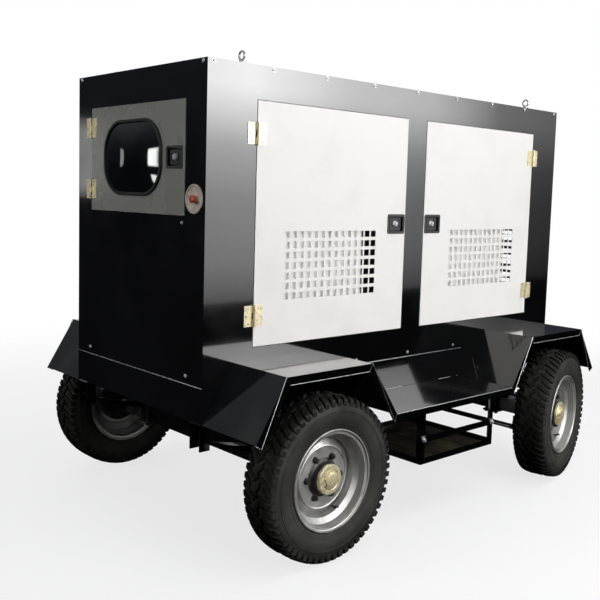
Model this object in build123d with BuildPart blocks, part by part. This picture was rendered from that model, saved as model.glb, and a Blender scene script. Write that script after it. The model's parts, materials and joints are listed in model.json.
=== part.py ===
from build123d import *
import math
import os

# Towable diesel generator on a four-wheel trailer. Millimetres, +Z up, ground at Z = 0.
# +X is the towing end, -X the control panel end, +Y the left side, -Y the right side.

os.makedirs("parts", exist_ok=True)

# ---- driving dimensions ----
BODY_LENGTH = 2600.0
BODY_WIDTH = 1090.0
FRONT_REACH = 1132.0
REAR_REACH = 32.0
BASE_BOTTOM = 582.5
BASE_TOP = 737.5
ROOF_BOTTOM = 2075.5
ROOF_TOP = 2102.5
SHEET = 3.0
DOOR_BOTTOM = 891.5
DOOR_TOP = 1954.5
DOOR_GAP = 3.0
DOOR_DEPTH = 25.0
DOOR_PROUD = 2.0
REAR_POST = 264.0
DOOR_WIDTH = 972.0
MID_POST = 148.0
WHEEL_RADIUS = 360.0
TYRE_HALF = 93.0
TRACK_HALF = 842.0
REAR_AXLE = 413.0
FRONT_AXLE = 2195.0
KING_PIN_INSET = 130.0
STEER_ARM = 150.0
FENDER_REACH = 363.0
FENDER_TOP = 834.5
STEP_TOP = 581.5
FENDER_SHEET = 4.0
FENDER_LIP = 34.0
RUNNING_FIT = 0.05
STEER_REST = 13.0

# ---- derived places ----
REAR_X = -(REAR_REACH + BODY_LENGTH + FRONT_REACH) / 2 + REAR_REACH
FRONT_X = REAR_X + BODY_LENGTH
HALF_W = BODY_WIDTH / 2
REAR_AXLE_X = REAR_X + REAR_AXLE
FRONT_AXLE_X = REAR_X + FRONT_AXLE
DOOR_1 = REAR_X + REAR_POST
MID_X = DOOR_1 + DOOR_WIDTH
DOOR_2 = MID_X + MID_POST
FRONT_POST_X = DOOR_2 + DOOR_WIDTH
KING_Y = TRACK_HALF - KING_PIN_INSET
STEER = math.radians(STEER_REST)
SIDES = {"right": -1, "left": 1}


def save(part, name):
    part.label = name
    export_step(part, f"parts/{name}.step")


def block(x0, x1, y0, y1, z0, z1, mode=Mode.ADD):
    """Add a box given by its two corners to the part being built."""
    with Locations(((x0 + x1) / 2, (y0 + y1) / 2, (z0 + z1) / 2)):
        Box(abs(x1 - x0), abs(y1 - y0), abs(z1 - z0), mode=mode)


def rod(start, end, radius, mode=Mode.ADD):
    """Add a round bar between two points."""
    path = Vector(*end) - Vector(*start)
    middle = (Vector(*start) + Vector(*end)) / 2
    with Locations(Plane(origin=middle, z_dir=path).location):
        Cylinder(radius, path.length, mode=mode)


def bar(start, end, width, height):
    """Add a square-cut bar between two points, its width kept level."""
    path = Vector(*end) - Vector(*start)
    middle = (Vector(*start) + Vector(*end)) / 2
    level = Vector(0, 0, 1).cross(path)
    with Locations(Plane(origin=middle, x_dir=level, z_dir=path).location):
        Box(width, height, path.length)


def band(points, depth):
    """Close a bent line into a strip of even thickness on its lower side."""
    inner = []
    for i, (x, z) in enumerate(points):
        before = points[max(i - 1, 0)]
        after = points[min(i + 1, len(points) - 1)]
        normals = []
        for a, b in ((before, (x, z)), ((x, z), after)):
            dx, dz = b[0] - a[0], b[1] - a[1]
            size = math.hypot(dx, dz)
            if size > 0:
                normals.append((dz / size, -dx / size))
        nx = sum(n[0] for n in normals) / len(normals)
        nz = sum(n[1] for n in normals) / len(normals)
        scale = depth / (nx * nx + nz * nz)
        inner.append((x + nx * scale, z + nz * scale))
    return points + inner[::-1]


# ---- canopy shell ----
REAR_LEG_RIGHT = 146.0
REAR_LEG_LEFT = 133.0
FRONT_LEG = 100.0
RAIL_TOP_Z = DOOR_TOP + DOOR_GAP
RAIL_LOW_Z = DOOR_BOTTOM - DOOR_GAP

with BuildPart() as roof:
    block(REAR_X, FRONT_X, -HALF_W, HALF_W, ROOF_BOTTOM, ROOF_TOP)
    offset(amount=-SHEET, openings=roof.faces().sort_by(Axis.Z)[0])
save(roof.part, "roof")

with BuildPart() as corner_posts:
    for side in SIDES.values():
        rear_leg = REAR_LEG_RIGHT if side < 0 else REAR_LEG_LEFT
        for corner_x, inward, long_leg, short_leg in (
            (REAR_X, 1, REAR_POST - DOOR_GAP, rear_leg),
            (FRONT_X, -1, FRONT_X - FRONT_POST_X - DOOR_GAP, FRONT_LEG),
        ):
            y_out = side * HALF_W
            y_in = side * (HALF_W - SHEET)
            block(corner_x, corner_x + inward * long_leg, y_out, y_in, BASE_TOP, ROOF_BOTTOM)
            y_end = side * (HALF_W - short_leg)
            block(corner_x, corner_x + inward * SHEET, y_in, y_end, BASE_TOP, ROOF_BOTTOM)
save(corner_posts.part, "corner_posts")

with BuildPart() as side_frames:
    for side in SIDES.values():
        y_out = side * HALF_W
        y_in = side * (HALF_W - 40)
        x0, x1 = MID_X + DOOR_GAP, DOOR_2 - DOOR_GAP
        block(x0, x1, y_out, side * (HALF_W - SHEET), RAIL_LOW_Z, RAIL_TOP_Z)
        block(x0, x0 + SHEET, y_out, y_in, RAIL_LOW_Z, RAIL_TOP_Z)
        block(x1 - SHEET, x1, y_out, y_in, RAIL_LOW_Z, RAIL_TOP_Z)
        x0, x1 = DOOR_1 - DOOR_GAP, FRONT_POST_X + DOOR_GAP
        for z0, z1, lip_z in (
            (RAIL_TOP_Z, ROOF_BOTTOM, RAIL_TOP_Z),
            (BASE_TOP, RAIL_LOW_Z, RAIL_LOW_Z - SHEET),
        ):
            block(x0, x1, y_out, side * (HALF_W - SHEET), z0, z1)
            block(x0, x1, y_out, y_in, lip_z, lip_z + SHEET)
save(side_frames.part, "side_frames")

# The wall of the control end, above and below the control door.
CONTROL_DOOR_LOW = 1456.5
CONTROL_DOOR_TOP = 1946.5
WALL_Y0 = -HALF_W + REAR_LEG_RIGHT
WALL_Y1 = HALF_W - REAR_LEG_LEFT
with BuildPart() as end_walls:
    block(REAR_X, REAR_X + SHEET, WALL_Y0, WALL_Y1, BASE_TOP, CONTROL_DOOR_LOW - DOOR_GAP)
    block(REAR_X, REAR_X + SHEET, WALL_Y0, WALL_Y1, CONTROL_DOOR_TOP + DOOR_GAP, ROOF_BOTTOM)

GRILLE_LOW = 982.5
GRILLE_TOP = 1882.5
GRILLE_HALF = HALF_W - FRONT_LEG
SLAT_COUNT = 22
with end_walls:
    block(FRONT_X - SHEET, FRONT_X, -GRILLE_HALF, GRILLE_HALF, BASE_TOP, GRILLE_LOW)
    block(FRONT_X - SHEET, FRONT_X, -GRILLE_HALF, GRILLE_HALF, GRILLE_TOP, ROOF_BOTTOM)
save(end_walls.part, "end_walls")

with BuildPart() as radiator_grille:
    with Locations((FRONT_X - 10, 0, (GRILLE_LOW + GRILLE_TOP) / 2)):
        Box(20, 2 * GRILLE_HALF, GRILLE_TOP - GRILLE_LOW)
        Box(20, 2 * GRILLE_HALF - 60, GRILLE_TOP - GRILLE_LOW - 60, mode=Mode.SUBTRACT)
    slat_pitch = (GRILLE_TOP - GRILLE_LOW - 60) / SLAT_COUNT
    for i in range(SLAT_COUNT):
        slat_z = GRILLE_LOW + 30 + slat_pitch * (i + 0.5)
        slat = Plane(origin=(FRONT_X - 10, 0, slat_z), x_dir=(0, 1, 0), z_dir=(0.7, 0, 0.714))
        with BuildSketch(slat):
            Rectangle(2 * GRILLE_HALF - 56, 24)
        extrude(amount=2)
    block(FRONT_X - 18, FRONT_X - 12, -12, 12, GRILLE_LOW + 25, GRILLE_TOP - 25)
save(radiator_grille.part, "radiator_grille")

# ---- doors ----
LOUVRE_COLUMNS = 14
LOUVRE_ROWS = 7
LOUVRE_PITCH_X = 43.2
LOUVRE_PITCH_Z = 46.0
LOUVRE_TOP = 1394.5
LOUVRE_HOLE = (34.0, 30.0)
LATCH_Z = 1425.5
LATCH_EDGE = 68.0
LATCH_WIDTH = 124.0
LATCH_HEIGHT = 96.0
LATCH_DEPTH = 21.0
HINGE_Z = (DOOR_BOTTOM + 136, DOOR_TOP - 141)
HINGE_HEIGHT = 92.0
HINGE_LEAF = 50.0
HINGE_LEAF_THICK = 2.5
PIN_RADIUS = 4.0
BARREL_RADIUS = 7.0
PIN_STAND_OFF = DOOR_PROUD + HINGE_LEAF_THICK + BARREL_RADIUS - 1.0
LOUVRE_FROM_HINGE = 180.0
LATCH_X = MID_X - LATCH_EDGE
FACE_Y = -HALF_W - DOOR_PROUD
PIN_X = DOOR_1 - DOOR_GAP / 2


def side_door(open_columns):
    """A folded door skin with its louvre field and the latch cut-out.

    The baffle behind leaves that many columns open: at the latch edge, or at the hinge edge if negative.
    """
    louvre_x = DOOR_1 + LOUVRE_FROM_HINGE + LOUVRE_PITCH_X * (LOUVRE_COLUMNS - 1) / 2
    louvre_z = LOUVRE_TOP - LOUVRE_HOLE[1] / 2 - LOUVRE_PITCH_Z * (LOUVRE_ROWS - 1) / 2
    baffle_w = LOUVRE_PITCH_X * (LOUVRE_COLUMNS - abs(open_columns))
    baffle_x = louvre_x - LOUVRE_PITCH_X * open_columns / 2
    with BuildPart() as door:
        block(DOOR_1, MID_X, FACE_Y, FACE_Y + DOOR_DEPTH, DOOR_BOTTOM, DOOR_TOP)
        block(DOOR_1 + SHEET, MID_X - SHEET, FACE_Y + SHEET, FACE_Y + DOOR_DEPTH,
              DOOR_BOTTOM + SHEET, DOOR_TOP - SHEET, mode=Mode.SUBTRACT)
        with BuildSketch(Plane.XZ.offset(-FACE_Y)):
            with Locations((louvre_x, louvre_z)):
                with GridLocations(LOUVRE_PITCH_X, LOUVRE_PITCH_Z, LOUVRE_COLUMNS, LOUVRE_ROWS):
                    Rectangle(*LOUVRE_HOLE)
            with Locations((LATCH_X, LATCH_Z)):
                Rectangle(LATCH_WIDTH - 12, LATCH_HEIGHT - 12)
        extrude(amount=-SHEET, mode=Mode.SUBTRACT)
        block(baffle_x - baffle_w / 2, baffle_x + baffle_w / 2, FACE_Y + 14, FACE_Y + 16,
              louvre_z - 175, louvre_z + 175)
    return door.part


def latch_handle(x, face_y, z):
    """The lift-up paddle of a recessed latch, with its lock barrel, facing -Y."""
    with BuildPart() as handle:
        block(x - 40, x + 40, face_y + 6, face_y + 10, z - 30, z + 30)
        rod((x, face_y + 6, z), (x, face_y + 1, z), 11)
        block(x - 4, x + 4, face_y + 1, face_y - 1, z - 9, z + 9)
        rod((x - 44, face_y + 8, z + 30), (x + 44, face_y + 8, z + 30), 2.5)
    return handle.part


def hinge_leaf(z, toward, on_door):
    """One leaf of a butt hinge with its knuckles; the frame's leaf carries the pin."""
    pin_y = -HALF_W - PIN_STAND_OFF
    base_y = -HALF_W - (DOOR_PROUD if on_door else 0)
    third = HINGE_HEIGHT / 3
    half = HINGE_HEIGHT / 2
    outer = ((z - half, z - third / 2), (z + third / 2, z + half))
    knuckles = ((z - third / 2 + 0.5, z + third / 2 - 0.5),) if on_door else outer
    edge = PIN_X + toward * (BARREL_RADIUS + 2)
    with BuildPart() as leaf:
        block(edge, PIN_X + toward * HINGE_LEAF, base_y, base_y - HINGE_LEAF_THICK, z - half, z + half)
        for z0, z1 in knuckles:
            block(PIN_X + toward, edge, base_y - 0.3, pin_y, z0, z1)
            rod((PIN_X, pin_y, z0), (PIN_X, pin_y, z1), BARREL_RADIUS)
        if on_door:
            rod((PIN_X, pin_y, z - third), (PIN_X, pin_y, z + third), PIN_RADIUS + RUNNING_FIT,
                mode=Mode.SUBTRACT)
        else:
            rod((PIN_X, pin_y, z - half - 3), (PIN_X, pin_y, z + half + 3), PIN_RADIUS)
    return leaf.part


def together(shapes):
    """Several separate solids as one piece."""
    return Compound([solid for shape in shapes for solid in shape.solids()])


def four_ways(shape, front_shape=None):
    """The right rear door's piece, and its mirror images for the other three side doors."""
    across = Plane.YZ.offset((DOOR_1 + FRONT_POST_X) / 2)
    front = mirror(front_shape or shape, about=across)
    return {
        "right_rear": shape,
        "right_front": front,
        "left_rear": mirror(shape, about=Plane.XZ),
        "left_front": mirror(front, about=Plane.XZ),
    }


frame_leaves = []
for name, shape in four_ways(side_door(2), side_door(-2)).items():
    save(shape, f"door_{name}")
for name, shape in four_ways(latch_handle(LATCH_X, FACE_Y, LATCH_Z)).items():
    save(shape, f"latch_handle_{name}")
door_leaf_pair = together([hinge_leaf(z, 1, True) for z in HINGE_Z])
frame_leaf_pair = together([hinge_leaf(z, -1, False) for z in HINGE_Z])
for name, shape in four_ways(door_leaf_pair).items():
    save(shape, f"hinge_leaves_{name}")
frame_leaves += list(four_ways(frame_leaf_pair).values())

# ---- control door in the rear wall, hinged on its left edge ----
# It is drawn as a door facing -Y and turned a quarter turn to face -X.
CONTROL_WIDTH = WALL_Y1 - WALL_Y0 - 2 * DOOR_GAP
CONTROL_MID_Y = (WALL_Y0 + WALL_Y1) / 2
WINDOW_Y = HALF_W - 1090.0 + 573.0
WINDOW_Z = 1706.5
WINDOW_SIZE = (500.0, 345.0)
WINDOW_CORNER = 150.0
SEAL_WIDTH = 15.0
GLASS_BULGE = 30.0
GLASS_ROUND = 24.0
CONTROL_LATCH = (-HALF_W + 229.0, 1702.5)
CONTROL_HINGE_Z = (1558.5, 1852.5)
CONTROL_FACE_X = REAR_X - DOOR_PROUD
CONTROL_PIN_Y = WALL_Y1 - DOOR_GAP / 2
REAR_FACE = Plane(origin=(CONTROL_FACE_X, 0, 0), x_dir=(0, -1, 0), z_dir=(-1, 0, 0))

with BuildPart() as control_door:
    block(CONTROL_FACE_X, CONTROL_FACE_X + DOOR_DEPTH, WALL_Y0 + DOOR_GAP, WALL_Y1 - DOOR_GAP,
          CONTROL_DOOR_LOW, CONTROL_DOOR_TOP)
    block(CONTROL_FACE_X + SHEET, CONTROL_FACE_X + DOOR_DEPTH, WALL_Y0 + DOOR_GAP + SHEET,
          WALL_Y1 - DOOR_GAP - SHEET, CONTROL_DOOR_LOW + SHEET, CONTROL_DOOR_TOP - SHEET,
          mode=Mode.SUBTRACT)
    with BuildSketch(REAR_FACE):
        with Locations((-WINDOW_Y, WINDOW_Z)):
            RectangleRounded(WINDOW_SIZE[0] - 16, WINDOW_SIZE[1] - 16, WINDOW_CORNER - 8)
        with Locations((-CONTROL_LATCH[0], CONTROL_LATCH[1])):
            Rectangle(LATCH_WIDTH - 12, LATCH_HEIGHT - 12)
    extrude(amount=-SHEET, mode=Mode.SUBTRACT)
save(control_door.part, "door_control")

with BuildPart() as window_seal:
    with BuildSketch(REAR_FACE):
        with Locations((-WINDOW_Y, WINDOW_Z)):
            RectangleRounded(*WINDOW_SIZE, WINDOW_CORNER)
            RectangleRounded(WINDOW_SIZE[0] - 2 * SEAL_WIDTH, WINDOW_SIZE[1] - 2 * SEAL_WIDTH,
                             WINDOW_CORNER - SEAL_WIDTH, mode=Mode.SUBTRACT)
    extrude(amount=10)
    fillet(window_seal.faces().sort_by(Axis.X)[0].edges(), 4)
save(window_seal.part, "window_seal")

with BuildPart() as window_glass:
    with BuildSketch(REAR_FACE):
        with Locations((-WINDOW_Y, WINDOW_Z)):
            RectangleRounded(WINDOW_SIZE[0] - 2 * SEAL_WIDTH, WINDOW_SIZE[1] - 2 * SEAL_WIDTH,
                             WINDOW_CORNER - SEAL_WIDTH)
    extrude(amount=GLASS_BULGE)
    fillet(window_glass.faces().sort_by(Axis.X)[0].edges(), GLASS_ROUND)
save(window_glass.part, "window_glass")


def to_rear(shape):
    """Turn a piece made on the right side, at the door hinge's pin, to face the rear."""
    moved = Pos(-PIN_X, HALF_W, 0) * shape
    return Pos(REAR_X, CONTROL_PIN_Y, 0) * Rot(0, 0, -90) * moved


control_leaves = [hinge_leaf(z, 1, True) for z in CONTROL_HINGE_Z]
save(to_rear(together(control_leaves)), "hinge_leaves_control")
frame_leaves.append(to_rear(together([hinge_leaf(z, -1, False) for z in CONTROL_HINGE_Z])))
save(together(frame_leaves), "hinge_frame_leaves")

control_handle = latch_handle(PIN_X + CONTROL_PIN_Y - CONTROL_LATCH[0], FACE_Y, CONTROL_LATCH[1])
save(to_rear(control_handle), "latch_handle_control")

# ---- emergency stop ----
STOP_Y = -HALF_W + 79.5
BUTTON_Y = STOP_Y - 12
STOP_Z = 1528.5
STOP_PLATE_RADIUS = 62.0
STEM_RADIUS = 8.0
COLLAR_X = REAR_X - 8
KNOB_X = REAR_X - 14
with BuildPart() as stop_plate:
    rod((REAR_X, STOP_Y, STOP_Z), (REAR_X - 3, STOP_Y, STOP_Z), STOP_PLATE_RADIUS)
    rod((REAR_X - 3, BUTTON_Y, STOP_Z), (COLLAR_X, BUTTON_Y, STOP_Z), 14)
    rod((REAR_X, BUTTON_Y, STOP_Z), (COLLAR_X, BUTTON_Y, STOP_Z), STEM_RADIUS, mode=Mode.SUBTRACT)
save(stop_plate.part, "emergency_stop_plate")

with BuildPart() as stop_button:
    rod((REAR_X - 6.5, BUTTON_Y, STOP_Z), (KNOB_X, BUTTON_Y, STOP_Z), STEM_RADIUS - RUNNING_FIT)
    rod((KNOB_X, BUTTON_Y, STOP_Z), (REAR_X - 26, BUTTON_Y, STOP_Z), 17)
    fillet(stop_button.edges().filter_by(GeomType.CIRCLE).sort_by(Axis.X)[0], 6)
save(stop_button.part, "emergency_stop_button")

# ---- roof fixings ----
BOLT_PITCH = 320.0
BOLT_Z = 2090.5
with BuildPart() as roof_bolts:
    for side in SIDES.values():
        for i in range(8):
            bolt_x = REAR_X + 30 + BOLT_PITCH * i
            rod((bolt_x, side * HALF_W, BOLT_Z), (bolt_x, side * (HALF_W + 5), BOLT_Z), 8)
save(roof_bolts.part, "roof_bolts")

EYE_X = (REAR_X + 191.0, REAR_X + 2296.0)
EYE_Y = HALF_W - 25.0
EYE_RING = 18.0
EYE_BAR = 4.5
with BuildPart() as lifting_eyes:
    for eye_x in EYE_X:
        for side in SIDES.values():
            rod((eye_x, side * EYE_Y, ROOF_TOP), (eye_x, side * EYE_Y, ROOF_TOP + 10), 12)
            ring_z = ROOF_TOP + 8 + EYE_RING + EYE_BAR
            with Locations(Plane(origin=(eye_x, side * EYE_Y, ring_z), z_dir=(1, 0, 0)).location):
                Torus(EYE_RING, EYE_BAR)
save(lifting_eyes.part, "lifting_eyes")

# ---- base frame under the canopy ----
RAIL_WIDTH = 60.0
RAIL_WEB = 6.0
TRAY_X = (REAR_X + 1040.0, REAR_X + 1615.0)
CROSS_X = (REAR_X + 380, TRAY_X[0] + 15, TRAY_X[1] - 15, REAR_X + 2195, REAR_X + 2400)
with BuildPart() as base_frame:
    for side in SIDES.values():
        y_out = side * HALF_W
        y_web = side * (HALF_W - RAIL_WEB)
        y_in = side * (HALF_W - RAIL_WIDTH)
        block(REAR_X, FRONT_X, y_out, y_web, BASE_BOTTOM, BASE_TOP)
        block(REAR_X, FRONT_X, y_web, y_in, BASE_BOTTOM, BASE_BOTTOM + 8)
        block(REAR_X, FRONT_X, y_web, y_in, BASE_TOP - 8, BASE_TOP)
    for x0, x1 in ((REAR_X, REAR_X + RAIL_WEB), (FRONT_X - RAIL_WEB, FRONT_X)):
        block(x0, x1, -HALF_W + RAIL_WEB, HALF_W - RAIL_WEB, BASE_BOTTOM, BASE_TOP)
    for cross_x in CROSS_X:
        block(cross_x - 3, cross_x + 3, -HALF_W + RAIL_WEB, HALF_W - RAIL_WEB, BASE_BOTTOM, BASE_TOP)
        block(cross_x - 25, cross_x + 25, -HALF_W + RAIL_WIDTH, HALF_W - RAIL_WIDTH,
              BASE_BOTTOM, BASE_BOTTOM + 6)
    block(REAR_X + 4, FRONT_X - 4, -HALF_W + 4, HALF_W - 4, BASE_TOP - 4, BASE_TOP)
save(base_frame.part, "base_frame")

# ---- fenders with the step between them ----
FENDER_LINE = [
    (REAR_X + 1.5, STEP_TOP),
    (REAR_X + 155, FENDER_TOP),
    (REAR_X + 646, FENDER_TOP),
    (REAR_X + 823, STEP_TOP),
    (REAR_X + 1732, STEP_TOP),
    (REAR_X + 1896, FENDER_TOP),
    (REAR_X + 2396, FENDER_TOP),
    (REAR_X + 2552, STEP_TOP + 9),
]
with BuildPart() as fender_right:
    for depth, y0, y1 in ((FENDER_SHEET, HALF_W, HALF_W + FENDER_REACH),
                          (FENDER_LIP, HALF_W + FENDER_REACH - FENDER_SHEET, HALF_W + FENDER_REACH)):
        with BuildSketch(Plane.XZ.offset(y0)) as strip:
            with BuildLine():
                Polyline(*band(FENDER_LINE, depth), close=True)
            make_face()
        extrude(amount=y1 - y0)
save(fender_right.part, "fender_right")
save(mirror(fender_right.part, about=Plane.XZ), "fender_left")

# ---- wheels ----
RIM_RADIUS = 222.0
SEAT_RADIUS = 203.8
WELL_RADIUS = 178.0
DISC_FACE = 16.0
DISC_THICK = 6.0
DISC_RADIUS = 143.0
HUB_RADIUS = 63.0
HUB_IN = -60.0
SPINDLE_RADIUS = 30.0
NUT_CIRCLE = 95.0
NUT_COUNT = 6


def turned(side, x, points, arcs=()):
    """Revolve a closed outline, given as (distance outward from the wheel's middle, radius)."""
    def at(point):
        return (side * (TRACK_HALF + point[0]), WHEEL_RADIUS + point[1])
    with BuildPart() as body:
        with BuildSketch(Plane.YZ.offset(x)):
            with BuildLine():
                for i, start in enumerate(points):
                    end = points[(i + 1) % len(points)]
                    through = dict(arcs).get(i)
                    if through:
                        ThreePointArc(at(start), at(through), at(end))
                    else:
                        Line(at(start), at(end))
            make_face()
        revolve(axis=Axis((x, 0, WHEEL_RADIUS), (0, 1, 0)))
    return body.part


def tyre(side, x):
    outline = [(-70, 204), (-70, 224), (-78, 340), (-66, 353), (66, 353), (78, 340), (70, 224),
               (70, 204), (56, 204), (60, 329), (-60, 329), (-56, 204)]
    arcs = [(1, (-TYRE_HALF, 284)), (3, (0, WHEEL_RADIUS)), (5, (TYRE_HALF, 284)),
            (8, (78, 277)), (10, (-78, 277))]
    return turned(side, x, outline, arcs)


def wheel_rim(side, x):
    barrel = [(-80, RIM_RADIUS), (-76, RIM_RADIUS), (-71, 216), (-71, SEAT_RADIUS), (-40, 200),
              (-25, WELL_RADIUS), (25, WELL_RADIUS), (40, 200), (71, SEAT_RADIUS), (71, 216),
              (76, RIM_RADIUS), (80, RIM_RADIUS), (80, 217), (76, 210), (75, 199.5), (43, 196),
              (28, 174), (-28, 174), (-43, 196), (-75, 199.5), (-76, 210), (-80, 217)]
    disc = [(DISC_FACE - DISC_THICK, HUB_RADIUS + 1), (DISC_FACE, HUB_RADIUS + 1),
            (DISC_FACE, DISC_RADIUS - 4), (DISC_FACE - 3, DISC_RADIUS + 1), (-6, 175.5), (-14, 175.5),
            (DISC_FACE - 12, DISC_RADIUS), (DISC_FACE - DISC_THICK, DISC_RADIUS - 6)]
    with BuildPart() as rim:
        add(turned(side, x, barrel))
        add(turned(side, x, disc))
        face = Plane(origin=(x, side * (TRACK_HALF + DISC_FACE), WHEEL_RADIUS), z_dir=(0, side, 0))
        with Locations(face):
            with PolarLocations(NUT_CIRCLE, NUT_COUNT, start_angle=90):
                Cylinder(9, 40, mode=Mode.SUBTRACT)
    return rim.part


def wheel_hub(side, x):
    barrel = [(HUB_IN, SPINDLE_RADIUS + RUNNING_FIT), (HUB_IN, 58), (-20, 58), (-4, 118),
              (DISC_FACE - DISC_THICK, 118), (DISC_FACE - DISC_THICK, HUB_RADIUS),
              (56, HUB_RADIUS), (56, SPINDLE_RADIUS + RUNNING_FIT)]
    cap = [(56, 0), (56, 60), (62, 60), (64, 58), (64, 44), (60, 42), (60, 0)]
    with BuildPart() as hub:
        add(turned(side, x, barrel))
        add(turned(side, x, cap))
        face = Plane(origin=(x, side * (TRACK_HALF + 60), WHEEL_RADIUS), z_dir=(0, side, 0))
        with BuildSketch(face) as nut:
            RegularPolygon(36, 6)
        extrude(nut.sketch, amount=16)
        disc = Plane(origin=(x, side * (TRACK_HALF + DISC_FACE - DISC_THICK), WHEEL_RADIUS),
                     z_dir=(0, side, 0))
        with BuildSketch(disc) as studs:
            with PolarLocations(NUT_CIRCLE, NUT_COUNT, start_angle=90):
                Circle(8)
        extrude(studs.sketch, amount=26)
        with BuildSketch(disc.offset(DISC_THICK)) as nuts:
            with PolarLocations(NUT_CIRCLE, NUT_COUNT, start_angle=90):
                RegularPolygon(15, 6)
        extrude(nuts.sketch, amount=14)
    return hub.part


def steered(shape, pivot_y):
    """Turn a front piece, made straight ahead, to the steering angle at rest about its upright pin."""
    return Pos(FRONT_AXLE_X, pivot_y, 0) * Rot(0, 0, STEER_REST) * Pos(-FRONT_AXLE_X, -pivot_y, 0) * shape


WHEELS = {f"{side_name}_{end}": (side, x) for side_name, side in SIDES.items()
          for end, x in (("rear", REAR_AXLE_X), ("front", FRONT_AXLE_X))}
for name, (side, x) in WHEELS.items():
    for kind, make in (("tyre", tyre), ("wheel_rim", wheel_rim), ("wheel_hub", wheel_hub)):
        piece = make(side, x)
        save(steered(piece, side * KING_Y) if name.endswith("front") else piece, f"{kind}_{name}")

# ---- axles, steering and springs ----
BEAM = 80.0
BEAM_LOW = WHEEL_RADIUS - BEAM / 2
BEAM_HIGH = WHEEL_RADIUS + BEAM / 2
SPINDLE_END = TRACK_HALF + 50.0
KING_RADIUS = 16.0
with BuildPart() as rear_axle:
    block(REAR_AXLE_X - BEAM / 2, REAR_AXLE_X + BEAM / 2, -KING_Y, KING_Y, BEAM_LOW, BEAM_HIGH)
    rod((REAR_AXLE_X, -SPINDLE_END, WHEEL_RADIUS), (REAR_AXLE_X, SPINDLE_END, WHEEL_RADIUS),
        SPINDLE_RADIUS)
save(rear_axle.part, "rear_axle")

YOKE_PIN = 25.0
with BuildPart() as front_axle:
    block(FRONT_AXLE_X - BEAM / 2, FRONT_AXLE_X + BEAM / 2, -KING_Y, KING_Y, BEAM_LOW, BEAM_HIGH)
    for side in SIDES.values():
        rod((FRONT_AXLE_X, side * KING_Y, BEAM_LOW), (FRONT_AXLE_X, side * KING_Y, BEAM_HIGH), 40)
        rod((FRONT_AXLE_X, side * KING_Y, BEAM_LOW), (FRONT_AXLE_X, side * KING_Y, BEAM_HIGH),
            KING_RADIUS + RUNNING_FIT, mode=Mode.SUBTRACT)
    rod((FRONT_AXLE_X, 0, BEAM_LOW), (FRONT_AXLE_X, 0, BEAM_HIGH), YOKE_PIN + RUNNING_FIT,
        mode=Mode.SUBTRACT)
save(front_axle.part, "front_axle")

ARM_Z = (BEAM_LOW - 26, BEAM_LOW - 8)
ARM_CLEAR = 16.0
LUG = 22.0
for side_name, side in SIDES.items():
    king_y = side * KING_Y
    with BuildPart() as knuckle:
        rod((FRONT_AXLE_X, king_y, ARM_Z[0]), (FRONT_AXLE_X, king_y, BEAM_HIGH + 30), KING_RADIUS)
        for z0, z1 in ((ARM_Z[0], BEAM_LOW - 2), (BEAM_HIGH + 2, BEAM_HIGH + 26)):
            rod((FRONT_AXLE_X, king_y, z0), (FRONT_AXLE_X, king_y, z1), 36)
            block(FRONT_AXLE_X - 30, FRONT_AXLE_X + 30, king_y, side * (KING_Y + 62), z0, z1)
        block(FRONT_AXLE_X - 30, FRONT_AXLE_X + 30, side * (KING_Y + 46), side * (KING_Y + 66),
              ARM_Z[0], BEAM_HIGH + 26)
        rod((FRONT_AXLE_X, side * (KING_Y + 50), WHEEL_RADIUS), (FRONT_AXLE_X, side * SPINDLE_END,
            WHEEL_RADIUS), SPINDLE_RADIUS)
        block(FRONT_AXLE_X - STEER_ARM, FRONT_AXLE_X, king_y - 18, king_y + 18, *ARM_Z)
        rod((FRONT_AXLE_X - STEER_ARM, king_y, ARM_Z[0]), (FRONT_AXLE_X - STEER_ARM, king_y, ARM_Z[1]),
            30)
        rod((FRONT_AXLE_X - STEER_ARM, king_y, ARM_Z[0]), (FRONT_AXLE_X - STEER_ARM, king_y, ARM_Z[1]),
            ARM_CLEAR, mode=Mode.SUBTRACT)
    save(steered(knuckle.part, king_y), f"steering_knuckle_{side_name}")

ROD_Z = ARM_Z[0] - 20
with BuildPart() as tie_rod:
    rod_x = FRONT_AXLE_X - STEER_ARM * math.cos(STEER)
    rod_y = -STEER_ARM * math.sin(STEER)
    rod((rod_x, rod_y - KING_Y, ROD_Z), (rod_x, rod_y + KING_Y, ROD_Z), 14)
    for stud_y in (rod_y - KING_Y, rod_y, rod_y + KING_Y):
        rod((rod_x, stud_y, ROD_Z - 16), (rod_x, stud_y, ROD_Z + 16), 26)
        rod((rod_x, stud_y, ROD_Z), (rod_x, stud_y, ARM_Z[1] + 4), 8)
save(tie_rod.part, "tie_rod")

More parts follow.
